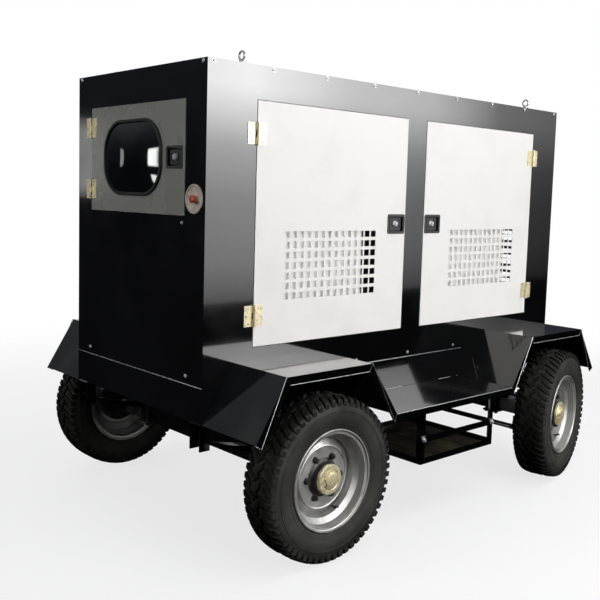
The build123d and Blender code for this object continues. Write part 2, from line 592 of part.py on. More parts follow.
HITCH_X = FRONT_AXLE_X + 230.0
HITCH_Z = (ARM_Z[0] + ARM_Z[1]) / 2
HITCH_HALF = 190.0
with BuildPart() as yoke:
    block(FRONT_AXLE_X - STEER_ARM, HITCH_X - 45, -45, 45, *ARM_Z)
    rod((FRONT_AXLE_X - STEER_ARM, 0, ARM_Z[0]), (FRONT_AXLE_X - STEER_ARM, 0, ARM_Z[1]), 45)
    rod((FRONT_AXLE_X - STEER_ARM, 0, ARM_Z[0]), (FRONT_AXLE_X - STEER_ARM, 0, ARM_Z[1]), ARM_CLEAR,
        mode=Mode.SUBTRACT)
    rod((FRONT_AXLE_X, 0, ARM_Z[0]), (FRONT_AXLE_X, 0, BEAM_HIGH + 12), YOKE_PIN)
    block(HITCH_X - 75, HITCH_X - 45, -HITCH_HALF - 30, HITCH_HALF + 30, *ARM_Z)
    for side in SIDES.values():
        for lug_y in (side * (HITCH_HALF - 18), side * (HITCH_HALF + 18)):
            block(HITCH_X - 50, HITCH_X + 12, lug_y - 5, lug_y + 5, HITCH_Z - 16, HITCH_Z + 16)
        rod((HITCH_X, side * (HITCH_HALF - 30), HITCH_Z), (HITCH_X, side * (HITCH_HALF + 30), HITCH_Z),
            9)
save(steered(yoke.part, 0), "steering_yoke")

EYE_OUTER = 45.0
TOW_EYE_X = FRONT_AXLE_X + (FRONT_X + FRONT_REACH - EYE_OUTER - FRONT_AXLE_X) / math.cos(STEER)
TOW_EYE_R = 25.0
TOW_EYE_H = 34.0
BAR_W = 26.0
with BuildPart() as drawbar:
    nose = (TOW_EYE_X - 110, 0, TOW_EYE_H / 2 + 24)
    for side in SIDES.values():
        bar((HITCH_X + 28, side * HITCH_HALF * 0.98, HITCH_Z - 5), nose, BAR_W, 50)
        rod((HITCH_X, side * HITCH_HALF - 12.5, HITCH_Z), (HITCH_X, side * HITCH_HALF + 12.5, HITCH_Z),
            20)
        block(HITCH_X, HITCH_X + 34, side * HITCH_HALF - 12.5, side * HITCH_HALF + 12.5,
              HITCH_Z - 16, HITCH_Z + 14)
        rod((HITCH_X, side * HITCH_HALF - 20, HITCH_Z), (HITCH_X, side * HITCH_HALF + 20, HITCH_Z),
            9 + RUNNING_FIT, mode=Mode.SUBTRACT)
    middle = [(HITCH_X + 22) * 0.5 + nose[0] * 0.5, 0, (HITCH_Z - 5) * 0.5 + nose[2] * 0.5]
    block(middle[0] - 20, middle[0] + 20, -HITCH_HALF * 0.49, HITCH_HALF * 0.49,
          middle[2] - 14, middle[2] + 14)
    bar((TOW_EYE_X - 160, 0, TOW_EYE_H / 2 + 34), (TOW_EYE_X - 30, 0, TOW_EYE_H / 2 + 2), 50, 26)
    rod((TOW_EYE_X, 0, 0), (TOW_EYE_X, 0, TOW_EYE_H), EYE_OUTER)
    rod((TOW_EYE_X, 0, -40), (TOW_EYE_X, 0, 120), TOW_EYE_R, mode=Mode.SUBTRACT)
save(steered(drawbar.part, 0), "drawbar")

SPRING_Y = HALF_W - 50.0
SPRING_HALF = 380.0
SPRING_RISE = 72.0
LEAF = 8.0
LEAF_WIDTH = 60.0
LEAVES = (1.0, 0.78, 0.56, 0.36)
SPRING_RADIUS = (SPRING_HALF ** 2 + SPRING_RISE ** 2) / (2 * SPRING_RISE)
PACK_LOW = BEAM_HIGH + 0.5


def arc_band(x, z_low, radius, half):
    """The side view of one curved leaf, its middle at z_low, as a closed line."""
    rise = radius - math.sqrt(radius ** 2 - half ** 2)
    inner = radius - LEAF
    inner_half = half * inner / radius
    inner_rise = inner - math.sqrt(inner ** 2 - inner_half ** 2)
    outer = ThreePointArc((x - half, z_low + rise), (x, z_low), (x + half, z_low + rise))
    top = ThreePointArc((x + inner_half, z_low + LEAF + inner_rise), (x, z_low + LEAF),
                        (x - inner_half, z_low + LEAF + inner_rise))
    Line(outer @ 1, top @ 0)
    Line(top @ 1, outer @ 0)


with BuildPart() as leaf_springs:
    for axle_x in (REAR_AXLE_X, FRONT_AXLE_X):
        for side in SIDES.values():
            for i, share in enumerate(LEAVES[::-1]):
                low = PACK_LOW + LEAF * i
                radius = SPRING_RADIUS - LEAF * (i - len(LEAVES) + 1)
                centre = PACK_LOW + LEAF * (len(LEAVES) - 1) + SPRING_RADIUS
                with BuildSketch(Plane.XZ.offset(-side * SPRING_Y - LEAF_WIDTH / 2)) as leaf:
                    with BuildLine():
                        arc_band(axle_x, centre - radius, radius, SPRING_HALF * share)
                    make_face()
                extrude(leaf.sketch, amount=LEAF_WIDTH)
save(leaf_springs.part, "leaf_springs")

HANGER_X = SPRING_HALF + 6.0
SPRING_EYE_Z = PACK_LOW + LEAF * 3 + SPRING_RISE
with BuildPart() as spring_hangers:
    for axle_x in (REAR_AXLE_X, FRONT_AXLE_X):
        for side in SIDES.values():
            y = side * SPRING_Y
            for end in (-1, 1):
                x = axle_x + end * HANGER_X
                block(x - 32, x + 32, y - 40, y + 40, BASE_BOTTOM - 6, BASE_BOTTOM)
                for cheek in (-1, 1):
                    block(x - 26, x + 26, y + cheek * 32, y + cheek * 38, SPRING_EYE_Z - 34,
                          BASE_BOTTOM - 6)
                rod((x - end * 8, y - 38, SPRING_EYE_Z - 14), (x - end * 8, y + 38, SPRING_EYE_Z - 14), 8)
save(spring_hangers.part, "spring_hangers")

# ---- battery tray hung under the right step ----
TRAY_Y = (-HALF_W - 330.0, -HALF_W + 230.0)
TRAY_LOW = 290.5
ANGLE = 30.0
ANGLE_THICK = 4.0
with BuildPart() as battery_tray:
    x0, x1 = TRAY_X
    y0, y1 = TRAY_Y
    block(x0, x1, y0, y1, TRAY_LOW, TRAY_LOW + ANGLE_THICK)
    for wall_y in (y0, y1 - ANGLE_THICK):
        block(x0, x1, wall_y, wall_y + ANGLE_THICK, TRAY_LOW, TRAY_LOW + ANGLE)
    for wall_x in (x0, x1 - ANGLE_THICK):
        block(wall_x, wall_x + ANGLE_THICK, y0, y1, TRAY_LOW, TRAY_LOW + ANGLE)
    for post_y, inward, post_top in ((y0, 1, STEP_TOP - FENDER_SHEET), (y1, -1, BASE_BOTTOM)):
        for post_x, along in ((x0, 1), (x1, -1)):
            block(post_x, post_x + along * ANGLE, post_y, post_y + inward * ANGLE_THICK,
                  TRAY_LOW, post_top)
            block(post_x, post_x + along * ANGLE_THICK, post_y, post_y + inward * ANGLE,
                  TRAY_LOW, post_top)
save(battery_tray.part, "battery_tray")

with BuildPart() as tray_strap:
    strap_z = TRAY_LOW + 122
    block(x0, x1, y0 - ANGLE_THICK, y0, strap_z - 15, strap_z + 15)
    for post_x in (x0 + 15, x1 - 15):
        rod((post_x, y0 - ANGLE_THICK, strap_z), (post_x, y0 - ANGLE_THICK - 9, strap_z), 9)
save(tray_strap.part, "tray_strap")

# ---- engine, alternator and the rest of the machinery ----
FLOOR = BASE_TOP
CRANK_Z = 1132.5
ALTERNATOR_X = (REAR_X + 640.0, REAR_X + 1150.0)
ENGINE_X = (ALTERNATOR_X[1], REAR_X + 1850.0)
with BuildPart() as alternator:
    rod((ALTERNATOR_X[0], 0, CRANK_Z), (ALTERNATOR_X[1], 0, CRANK_Z), 235)
    chamfer(alternator.edges().filter_by(GeomType.CIRCLE).sort_by(Axis.X)[0], 40)
    for foot_y in (-170, 170):
        block(ALTERNATOR_X[0] + 80, ALTERNATOR_X[1] - 60, foot_y - 45, foot_y + 45, FLOOR, CRANK_Z)
    block(ALTERNATOR_X[0] + 90, ALTERNATOR_X[0] + 360, -140, 140, CRANK_Z + 180, CRANK_Z + 330)
    rod((ALTERNATOR_X[0] + 60, 0, CRANK_Z), (ALTERNATOR_X[1] - 40, 0, CRANK_Z), 195, mode=Mode.SUBTRACT)
save(alternator.part, "alternator")

with BuildPart() as engine:
    x0, x1 = ENGINE_X
    block(x0, x0 + 90, -250, 250, CRANK_Z - 240, CRANK_Z + 240)
    block(x0 + 90, x1, -160, 160, CRANK_Z - 120, CRANK_Z + 320)
    block(x0 + 120, x1 - 40, -130, 130, FLOOR + 70, CRANK_Z - 120)
    block(x0 + 110, x1 - 20, -110, 110, CRANK_Z + 320, CRANK_Z + 420)
    for mount_y in (-210, 210):
        for mount_x in (x0 + 45, x1 - 80):
            block(mount_x - 40, mount_x + 40, mount_y - 40, mount_y + 40, FLOOR, CRANK_Z - 150)
            block(mount_x - 40, mount_x + 40, mount_y * 0.5, mount_y, CRANK_Z - 190, CRANK_Z - 120)
    rod((x1, 0, CRANK_Z + 60), (x1 + 40, 0, CRANK_Z + 60), 40)
    rod((x1 + 40, 0, CRANK_Z + 60), (x1 + 110, 0, CRANK_Z + 60), 15)
    block(x0 + 110, x1 - 20, -140, 140, CRANK_Z - 100, CRANK_Z + 300, mode=Mode.SUBTRACT)
    block(x0 + 135, x1 - 55, -115, 115, FLOOR + 85, CRANK_Z - 135, mode=Mode.SUBTRACT)
save(engine.part, "engine")

FAN_X = ENGINE_X[1] + 80.0
FAN_RADIUS = 280.0
FAN_Z = CRANK_Z + 60.0
with BuildPart() as fan:
    rod((FAN_X - 25, 0, FAN_Z), (FAN_X + 25, 0, FAN_Z), 60)
    for i in range(6):
        turn = math.radians(60 * i)
        tip = (FAN_X, FAN_RADIUS * math.cos(turn), FAN_Z + FAN_RADIUS * math.sin(turn))
        blade = Plane(origin=(FAN_X, 0, FAN_Z), x_dir=(1, 0, 0.0), z_dir=Vector(*tip) - Vector(FAN_X, 0, FAN_Z))
        with Locations(blade.location * Rot(0, 0, 60) * Pos(0, 0, (FAN_RADIUS + 40) / 2)):
            Box(90, 4, FAN_RADIUS - 40)
    rod((FAN_X - 40, 0, FAN_Z), (FAN_X + 40, 0, FAN_Z), 15 + RUNNING_FIT, mode=Mode.SUBTRACT)
save(fan.part, "cooling_fan")

RADIATOR_X = (FAN_X + 90.0, FAN_X + 210.0)
with BuildPart() as radiator:
    block(*RADIATOR_X, -360, 360, FLOOR + 60, FLOOR + 980)
    for foot_y in (-300, 300):
        block(RADIATOR_X[0] + 20, RADIATOR_X[1] - 20, foot_y - 40, foot_y + 40, FLOOR, FLOOR + 60)
    rod(((RADIATOR_X[0] + RADIATOR_X[1]) / 2, 200, FLOOR + 980),
        ((RADIATOR_X[0] + RADIATOR_X[1]) / 2, 200, FLOOR + 1020), 32)
save(radiator.part, "radiator")

SILENCER_Z = 1862.5
with BuildPart() as silencer:
    rod((REAR_X + 1250, -200, SILENCER_Z), (REAR_X + 2050, -200, SILENCER_Z), 90)
    rod((REAR_X + 2050, -200, SILENCER_Z), (FRONT_X - 60, -200, SILENCER_Z), 30)
    rod((REAR_X + 1400, -200, SILENCER_Z), (REAR_X + 1400, -200, CRANK_Z + 250), 30)
    rod((REAR_X + 1400, -200, CRANK_Z + 250), (REAR_X + 1400, -160, CRANK_Z + 250), 30)
    rod((REAR_X + 1253, -200, SILENCER_Z), (REAR_X + 2047, -200, SILENCER_Z), 87, mode=Mode.SUBTRACT)
save(silencer.part, "exhaust_silencer")

with BuildPart() as fuel_tank:
    block(REAR_X + 120, REAR_X + 560, -400, 400, FLOOR, FLOOR + 380)
    fillet(fuel_tank.edges().filter_by(Axis.Z), 25)
    rod((REAR_X + 340, -300, FLOOR + 380), (REAR_X + 340, -300, FLOOR + 420), 35)
save(fuel_tank.part, "fuel_tank")

with BuildPart() as control_box:
    block(REAR_X + 70, REAR_X + 330, -380, 390, 1462.5, 1932.5)
    block(REAR_X + 72, REAR_X + 328, -378, 388, 1464.5, 1930.5, mode=Mode.SUBTRACT)
    for leg_y in (-360, 350):
        block(REAR_X + 70, REAR_X + 100, leg_y, leg_y + 20, FLOOR, 1462.5)
save(control_box.part, "control_box")
print("parts written:", len([n for n in os.listdir("parts") if n.endswith(".step")]))
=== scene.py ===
"""Looks of the towable diesel generator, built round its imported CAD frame.

Metres, +Z up. +X is the towing end, -X the control end, -Y the right side that the camera sees.
"""
import json
import math

import bmesh
import bpy
from mathutils import Matrix, Vector


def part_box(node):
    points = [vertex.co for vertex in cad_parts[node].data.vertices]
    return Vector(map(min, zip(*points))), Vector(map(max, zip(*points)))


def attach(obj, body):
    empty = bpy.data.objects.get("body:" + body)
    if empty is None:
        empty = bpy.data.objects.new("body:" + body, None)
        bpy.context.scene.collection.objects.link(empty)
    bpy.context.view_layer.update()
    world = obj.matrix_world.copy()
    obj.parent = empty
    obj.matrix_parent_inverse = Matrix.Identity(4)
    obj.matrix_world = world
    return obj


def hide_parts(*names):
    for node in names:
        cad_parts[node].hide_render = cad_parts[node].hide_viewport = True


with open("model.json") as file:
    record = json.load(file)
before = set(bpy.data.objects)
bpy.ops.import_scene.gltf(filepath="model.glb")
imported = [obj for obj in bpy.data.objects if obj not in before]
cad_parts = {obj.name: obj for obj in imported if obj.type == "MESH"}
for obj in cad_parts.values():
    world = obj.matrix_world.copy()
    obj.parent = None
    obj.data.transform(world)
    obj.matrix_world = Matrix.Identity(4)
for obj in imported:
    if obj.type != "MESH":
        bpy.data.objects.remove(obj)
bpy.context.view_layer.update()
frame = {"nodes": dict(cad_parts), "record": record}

# ---- camera ----
CAMERA_AT = (-3.873, -3.39, 1.5605)
CAMERA_YAW = 47.34
CAMERA_PITCH = -5.52
CAMERA_ROLL = 1.7
CAMERA_LENS = 50.6
CAMERA_SHIFT = (-0.018, -0.0395)

# ---- places read from the frame ----
NODES = frame["nodes"]
RECORD = frame["record"]
JOINTS = {joint["name"]: joint for joint in RECORD["behaviour"]["joints"]}
SIDE_DOORS = ("right_rear", "right_front", "left_rear", "left_front")


def box(node):
    """The two corners of a CAD node's box."""
    lo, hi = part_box(node)
    return Vector(lo), Vector(hi)


def middle(node):
    lo, hi = box(node)
    return (lo + hi) / 2


def rise(height):
    return Vector((0, 0, height))


BODY_LO, BODY_HI = box("corner_posts")
ROOF_HI = box("roof")[1]
BASE_HI = box("base_frame")[1]
REAR_X, FRONT_X = BODY_LO.x, BODY_HI.x
HALF_W = BODY_HI.y

# ---- the front end is steered a little at rest ----
KING_PIN = Vector(JOINTS["drawbar_turn"]["pos_m"])
HITCH = Vector(JOINTS["drawbar_lift"]["pos_m"]) - KING_PIN
STEER = math.atan2(HITCH.y, HITCH.x)
TOW_EYE = Vector(next(mount for mount in RECORD["mounts"] if mount["name"] == "tow_eye")["pos_m"])


# =====================================================================================
# Materials
# =====================================================================================
def grey(value):
    return (value, value, value, 1.0)


def rgba(colour):
    return (colour[0], colour[1], colour[2], 1.0)


def scaled(colour, factor):
    return tuple(min(1.0, c * factor) for c in colour)


class Finish:
    """A procedural surface: colour and roughness that vary with noise, and a fine bump."""

    def __init__(self, name):
        self.material = bpy.data.materials.new(name)
        self.material.use_nodes = True
        self.tree = self.material.node_tree
        self.shader = self.tree.nodes["Principled BSDF"]
        self.place = self.tree.nodes.new("ShaderNodeTexCoord").outputs["Object"]

    def link(self, out, into):
        self.tree.links.new(out, into)

    def noise(self, scale, detail=4.0, stretch=None, roughness=0.5):
        node = self.tree.nodes.new("ShaderNodeTexNoise")
        node.inputs["Scale"].default_value = scale
        node.inputs["Detail"].default_value = detail
        node.inputs["Roughness"].default_value = roughness
        place = self.place
        if stretch:
            mapping = self.tree.nodes.new("ShaderNodeMapping")
            mapping.inputs["Scale"].default_value = stretch
            self.link(place, mapping.inputs["Vector"])
            place = mapping.outputs["Vector"]
        self.link(place, node.inputs["Vector"])
        return node.outputs["Fac"]

    def ramp(self, source, stops):
        node = self.tree.nodes.new("ShaderNodeValToRGB")
        band = node.color_ramp
        while len(band.elements) < len(stops):
            band.elements.new(0.5)
        for element, (position, colour) in zip(band.elements, stops):
            element.position = position
            element.color = colour
        self.link(source, node.inputs["Fac"])
        return node.outputs["Color"]

    def mix(self, factor, first, second):
        node = self.tree.nodes.new("ShaderNodeMix")
        node.data_type = "RGBA"
        self.link(factor, node.inputs[0])
        self.link(first, node.inputs[6])
        self.link(second, node.inputs[7])
        return node.outputs[2]

    def multiply(self, first, second):
        node = self.tree.nodes.new("ShaderNodeMath")
        node.operation = "MULTIPLY"
        self.link(first, node.inputs[0])
        self.link(second, node.inputs[1])
        return node.outputs[0]

    def colour(self, colour, scale, spread, detail=4.0, stretch=None):
        """Base colour between a darker and a lighter version of one colour."""
        fac = self.noise(scale, detail, stretch)
        out = self.ramp(fac, ((0.3, rgba(scaled(colour, 1 - spread))),
                              (0.7, rgba(scaled(colour, 1 + spread)))))
        self.link(out, self.shader.inputs["Base Color"])
        return out

    def roughness(self, low, high, scale, stretch=None):
        out = self.ramp(self.noise(scale, 5.0, stretch), ((0.3, grey(low)), (0.7, grey(high))))
        self.link(out, self.shader.inputs["Roughness"])

    def bump(self, scale, distance, strength=1.0, stretch=None, detail=3.0):
        node = self.tree.nodes.new("ShaderNodeBump")
        node.inputs["Strength"].default_value = strength
        node.inputs["Distance"].default_value = distance
        self.link(self.noise(scale, detail, stretch), node.inputs["Height"])
        previous = self.shader.inputs["Normal"].links
        if previous:
            self.link(previous[0].from_socket, node.inputs["Normal"])
        self.link(node.outputs["Normal"], self.shader.inputs["Normal"])

    def dust(self, base, colour, low, high, top_only=True, scale=2.5, amount=1.0):
        """Dust over the base colour where the noise is high, mostly on faces that look up."""
        fac = self.ramp(self.noise(scale, 4.0, None, 0.5), ((low, grey(0.0)), (high, grey(amount))))
        if top_only:
            normal = self.tree.nodes.new("ShaderNodeNewGeometry").outputs["Normal"]
            split = self.tree.nodes.new("ShaderNodeSeparateXYZ")
            self.link(normal, split.inputs[0])
            up = self.ramp(split.outputs["Z"], ((0.2, grey(0.0)), (0.95, grey(1.0))))
            fac = self.multiply(fac, up)
        paint = self.tree.nodes.new("ShaderNodeRGB")
        paint.outputs[0].default_value = rgba(colour)
        out = self.mix(fac, base, paint.outputs[0])
        self.link(out, self.shader.inputs["Base Color"])
        return fac

    def set(self, **values):
        """Numbers that are the same all over the surface, on the shader's own sockets."""
        for name, value in values.items():
            self.shader.inputs[name.replace("_", " ")].default_value = value


def surface(name, colour, dust=None, rough=(0.3, 0.5, 20.0), bumps=(), **sockets):
    """A finish from its colour (tone, scale, spread), dust, roughness, bumps and shader values."""
    finish = Finish(name)
    base = finish.colour(*colour)
    if dust:
        finish.dust(base, *dust)
    finish.roughness(*rough)
    finish.set(**sockets)
    for bump in bumps:
        finish.bump(*bump)
    return finish.material


SURFACES = {
    "black_paint": dict(colour=((0.0075, 0.0078, 0.0088), 3.0, 0.25),
        dust=((0.1, 0.093, 0.082), 0.46, 0.85, True, 3.2), rough=(0.07, 0.16, 6.0),
        bumps=((1.7, 0.01, 0.1), (260.0, 0.00025, 0.1)),
        Coat_Weight=1.0, Coat_Roughness=0.045, Specular_IOR_Level=0.45),
    "white_paint": dict(colour=((0.85, 0.838, 0.82), 0.9, 0.015),
        dust=((0.5, 0.47, 0.41), 0.5, 0.95, False, 5.0, 0.22), rough=(0.3, 0.42, 5.0),
        bumps=((2.1, 0.008, 0.08), (240.0, 0.0003, 0.1)),
        Coat_Weight=0.04, Coat_Roughness=0.2, Specular_IOR_Level=0.1),
    "grey_paint": dict(colour=((0.26, 0.262, 0.235), 1.3, 0.03),
        dust=((0.22, 0.2, 0.16), 0.45, 0.95, False, 9.0, 0.14), rough=(0.2, 0.34, 5.0),
        bumps=((2.1, 0.008, 0.08), (240.0, 0.0003, 0.1)), Coat_Weight=0.6, Coat_Roughness=0.14),
    "zinc_yellow": dict(colour=((0.9, 0.8, 0.52), 38.0, 0.1), rough=(0.22, 0.4, 60.0),
        bumps=((420.0, 0.0002, 0.25),), Metallic=0.3),
    "latch_black": dict(colour=((0.022, 0.022, 0.023), 40.0, 0.3), rough=(0.38, 0.55, 70.0),
        bumps=((900.0, 0.0002, 0.35),)),
    "tyre_rubber": dict(colour=((0.014, 0.0138, 0.012), 9.0, 0.3),
        dust=((0.043, 0.043, 0.034), 0.3, 0.72, False, 5.5), rough=(0.62, 0.85, 24.0),
        bumps=((140.0, 0.0008, 0.25), (16.0, 0.003, 0.12)), Specular_IOR_Level=0.35),
    # The tread is darker than the dusty side wall, with dry mud in its grooves.
    "tread_rubber": dict(colour=((0.008, 0.0078, 0.007), 14.0, 0.4),
        dust=((0.034, 0.032, 0.025), 0.45, 0.85, False, 9.0), rough=(0.65, 0.9, 30.0),
        bumps=((120.0, 0.001, 0.3),), Specular_IOR_Level=0.3),
    "rim_silver": dict(colour=((0.5, 0.5, 0.485), 7.0, 0.1),
        dust=((0.16, 0.14, 0.11), 0.5, 0.88, False, 8.0), rough=(0.3, 0.5, 22.0),
        bumps=((60.0, 0.0005, 0.2),), Metallic=0.45, Coat_Weight=0.2, Coat_Roughness=0.25),
    "hub_iron": dict(colour=((0.03, 0.029, 0.028), 18.0, 0.3),
        dust=((0.13, 0.115, 0.085), 0.52, 0.86, False, 12.0), rough=(0.35, 0.6, 40.0),
        bumps=((150.0, 0.0006, 0.3),)),
    "dark_glass": dict(colour=((0.006, 0.0065, 0.008), 5.0, 0.3), rough=(0.03, 0.07, 8.0),
        bumps=((3.0, 0.004, 0.1),), Coat_Weight=1.0, Coat_Roughness=0.02),
    "seal_rubber": dict(colour=((0.013, 0.013, 0.014), 30.0, 0.25), rough=(0.35, 0.55, 50.0),
        bumps=((300.0, 0.0003, 0.3),)),
    "stop_plate_plastic": dict(colour=((0.62, 0.55, 0.47), 22.0, 0.08),
        dust=((0.42, 0.3, 0.24), 0.5, 0.9, False, 30.0), rough=(0.28, 0.45, 30.0),
        bumps=((200.0, 0.0003, 0.2),)),
    "red_plastic": dict(colour=((0.52, 0.055, 0.02), 45.0, 0.18), rough=(0.22, 0.38, 30.0),
        bumps=((200.0, 0.0002, 0.2),), Coat_Weight=0.3, Coat_Roughness=0.15),
    "bright_steel": dict(colour=((0.7, 0.7, 0.71), 50.0, 0.12), rough=(0.22, 0.38, 60.0),
        bumps=((500.0, 0.0002, 0.2),), Metallic=0.55),
    "engine_paint": dict(colour=((0.055, 0.105, 0.16), 6.0, 0.18),
        dust=((0.12, 0.11, 0.09), 0.5, 0.9, True, 7.0), rough=(0.36, 0.52, 20.0),
        bumps=((90.0, 0.0012, 0.3),)),
    "radiator_aluminium": dict(colour=((0.42, 0.43, 0.44), 10.0, 0.12), rough=(0.4, 0.6, 18.0),
        bumps=((130.0, 0.0006, 0.3),), Metallic=0.7),
    "fan_plastic": dict(colour=((0.025, 0.025, 0.026), 20.0, 0.25), rough=(0.45, 0.62, 30.0),
        bumps=((220.0, 0.0003, 0.3),)),
    "exhaust_steel": dict(colour=((0.26, 0.24, 0.22), 9.0, 0.25),
        dust=((0.2, 0.085, 0.035), 0.55, 0.9, False, 14.0), rough=(0.42, 0.7, 16.0),
        bumps=((120.0, 0.0008, 0.3),), Metallic=0.6),
    "tank_plastic": dict(colour=((0.028, 0.028, 0.03), 12.0, 0.2), rough=(0.42, 0.6, 18.0),
        bumps=((260.0, 0.0004, 0.3),)),
    # Greenish zinc sheet with grime.
    "tray_floor": dict(colour=((0.16, 0.15, 0.09), 8.0, 0.3),
        dust=((0.022, 0.02, 0.016), 0.42, 0.75, False, 6.0), rough=(0.35, 0.6, 18.0),
        bumps=((80.0, 0.0006, 0.3),), Metallic=0.35),
    # Dark sound-absorbing foam inside the doors.
    "foam": dict(colour=((0.03, 0.031, 0.033), 60.0, 0.3), rough=(0.85, 0.98, 40.0),
        bumps=((220.0, 0.002, 0.6),)),
    "panel_face": dict(colour=((0.16, 0.17, 0.175), 10.0, 0.08), rough=(0.35, 0.48, 25.0),
        bumps=((500.0, 0.0002, 0.3),)),
    "dial_white": dict(colour=((0.72, 0.72, 0.7), 25.0, 0.05), rough=(0.25, 0.35, 30.0),
        bumps=((300.0, 0.0001, 0.2),)),
}
MATERIALS = {name: surface(name, **look) for name, look in SURFACES.items()}


# =====================================================================================
# Mesh building
# =====================================================================================
class Piece:
    """Collects simple forms into one mesh object."""

    def __init__(self):
        self.mesh = bmesh.new()

    def block(self, lo, hi, bevel=0.0, turn=None, about=None):
        """A box between two corners, its edges rounded, turned about a point if asked."""
        lo, hi = Vector(lo), Vector(hi)
        made = bmesh.ops.create_cube(self.mesh, size=1.0)["verts"]
        centre = (lo + hi) / 2
        for v in made:
            v.co = Vector((v.co[i] * (hi[i] - lo[i]) + centre[i] for i in range(3)))
        if bevel > 0:
            edges = list({e for v in made for e in v.link_edges})
            result = bmesh.ops.bevel(self.mesh, geom=edges, offset=bevel, segments=2,
                                     profile=0.6, affect="EDGES")
            made = list({v for f in result["faces"] for v in f.verts} | {v for v in made if v.is_valid})
        if turn is not None:
            pivot = Vector(about) if about is not None else centre
            bmesh.ops.rotate(self.mesh, verts=made, cent=pivot, matrix=turn)
        return self

    def lathe(self, centre, axis, profile, steps=32, closed=False):
        """Revolve (distance along the axis, radius) points about an axis through centre."""
        along = Vector(axis).normalized()
        side = along.orthogonal().normalized()
        up = along.cross(side)
        rings = []
        for distance, radius in profile:
            middle_point = Vector(centre) + along * distance
            if radius < 1e-6:
                rings.append([self.mesh.verts.new(middle_point)])
                continue
            ring = []
            for k in range(steps):
                angle = math.tau * k / steps
                ring.append(self.mesh.verts.new(
                    middle_point + radius * (math.cos(angle) * side + math.sin(angle) * up)))
            rings.append(ring)
        pairs = list(zip(rings, rings[1:]))
        if closed:
            pairs.append((rings[-1], rings[0]))
        for first, second in pairs:
            for k in range(steps):
                n = (k + 1) % steps
                if len(first) == 1 and len(second) == 1:
                    break
                if len(first) == 1:
                    self.mesh.faces.new((first[0], second[n], second[k]))
                elif len(second) == 1:
                    self.mesh.faces.new((first[k], first[n], second[0]))
                else:
                    self.mesh.faces.new((first[k], first[n], second[n], second[k]))
        return self

    def stud(self, centre, axis, profile, steps=32):
        """A solid of revolution: the profile closed onto the axis at both of its ends."""
        closed = ((profile[0][0], 0.0), *profile, (profile[-1][0], 0.0))
        return self.lathe(centre, axis, closed, steps)

    def tube(self, points, radius, steps=12, closed=False):
        """A round bar along a line of points, with flat ends."""
        points = [Vector(p) for p in points]
        count = len(points)
        rings = []
        side = None
        for i, point in enumerate(points):
            if closed:
                along = points[(i + 1) % count] - points[i - 1]
            else:
                along = points[min(i + 1, count - 1)] - points[max(i - 1, 0)]
            along.normalize()
            if side is None:
                side = along.orthogonal().normalized()
            side = (side - along * side.dot(along)).normalized()
            up = along.cross(side)
            rings.append([self.mesh.verts.new(point + radius * (math.cos(math.tau * k / steps) * side
                                                                + math.sin(math.tau * k / steps) * up))
                          for k in range(steps)])
        pairs = list(zip(rings, rings[1:]))
        if closed:
            pairs.append((rings[-1], rings[0]))
        for first, second in pairs:
            for k in range(steps):
                n = (k + 1) % steps
                self.mesh.faces.new((first[k], first[n], second[n], second[k]))
        if not closed:
            self.mesh.faces.new(rings[0][::-1])
            self.mesh.faces.new(rings[-1])
        return self

    def hexagon(self, centre, axis, across, height, dome=0.15):
        """A hexagon nut or bolt head whose outer face is chamfered."""
        radius = across / math.sqrt(3)
        profile = ((0.0, 0.0), (0.0, radius), (height * (1 - dome), radius), (height, radius * 0.86),
                   (height, 0.0))
        return self.lathe(centre, axis, profile, 6)

    def chain(self, stations):
        """A solid strip through stations, each a loop of the same number of corners."""
        loops = [[self.mesh.verts.new(p) for p in loop] for loop in stations]
        size = len(loops[0])
        for first, second in zip(loops, loops[1:]):
            for k in range(size):
                n = (k + 1) % size
                self.mesh.faces.new((first[k], first[n], second[n], second[k]))
        self.mesh.faces.new(loops[0][::-1])
        self.mesh.faces.new(loops[-1])
        return self

    def frame_ring(self, outer, inner, depth, to_space):
        """A flat ring between two outlines with the same number of points, of some depth."""
        loops = []
        for outline, offset in ((outer, 0.0), (outer, depth), (inner, depth), (inner, 0.0)):
            loops.append([self.mesh.verts.new(to_space(u, v, offset)) for u, v in outline])
        size = len(outer)
        for i, loop in enumerate(loops):
            following = loops[(i + 1) % len(loops)]
            for k in range(size):
                n = (k + 1) % size
                self.mesh.faces.new((loop[k], loop[n], following[n], following[k]))
        return self

    def plate(self, outline, depth, to_space):
        """A flat plate of some depth from an outline."""
        low = [self.mesh.verts.new(to_space(u, v, 0.0)) for u, v in outline]
        high = [self.mesh.verts.new(to_space(u, v, depth)) for u, v in outline]
        size = len(outline)
        for k in range(size):
            n = (k + 1) % size
            self.mesh.faces.new((low[k], low[n], high[n], high[k]))
        self.mesh.faces.new(low[::-1])
        self.mesh.faces.new(high)
        return self

    def turned(self, about, angle):
        """Turn everything made so far about an upright line through a point."""
        bmesh.ops.rotate(self.mesh, verts=self.mesh.verts, cent=about,
                matrix=Matrix.Rotation(angle, 3, "Z"))
        return self

    def finish(self, name, material, body, slot=None, replaces=(), smooth=35.0):
        bmesh.ops.recalc_face_normals(self.mesh, faces=self.mesh.faces)
        data = bpy.data.meshes.new(name)
        self.mesh.to_mesh(data)
        self.mesh.free()
        obj = bpy.data.objects.new(name, data)
        bpy.context.scene.collection.objects.link(obj)
        data.materials.append(material)
        data.shade_smooth()
        data.set_sharp_from_angle(angle=math.radians(smooth))
        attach(obj, body)
        if replaces:
            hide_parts(*replaces)
        return obj


def made(name, slot, body, build, **options):
    """Build a piece with a function and give it its slot's finish."""
    piece = Piece()
    build(piece)
    material = options.pop("material", None) or MATERIALS[slot]
    return piece.finish(name, material, body, slot, **options)


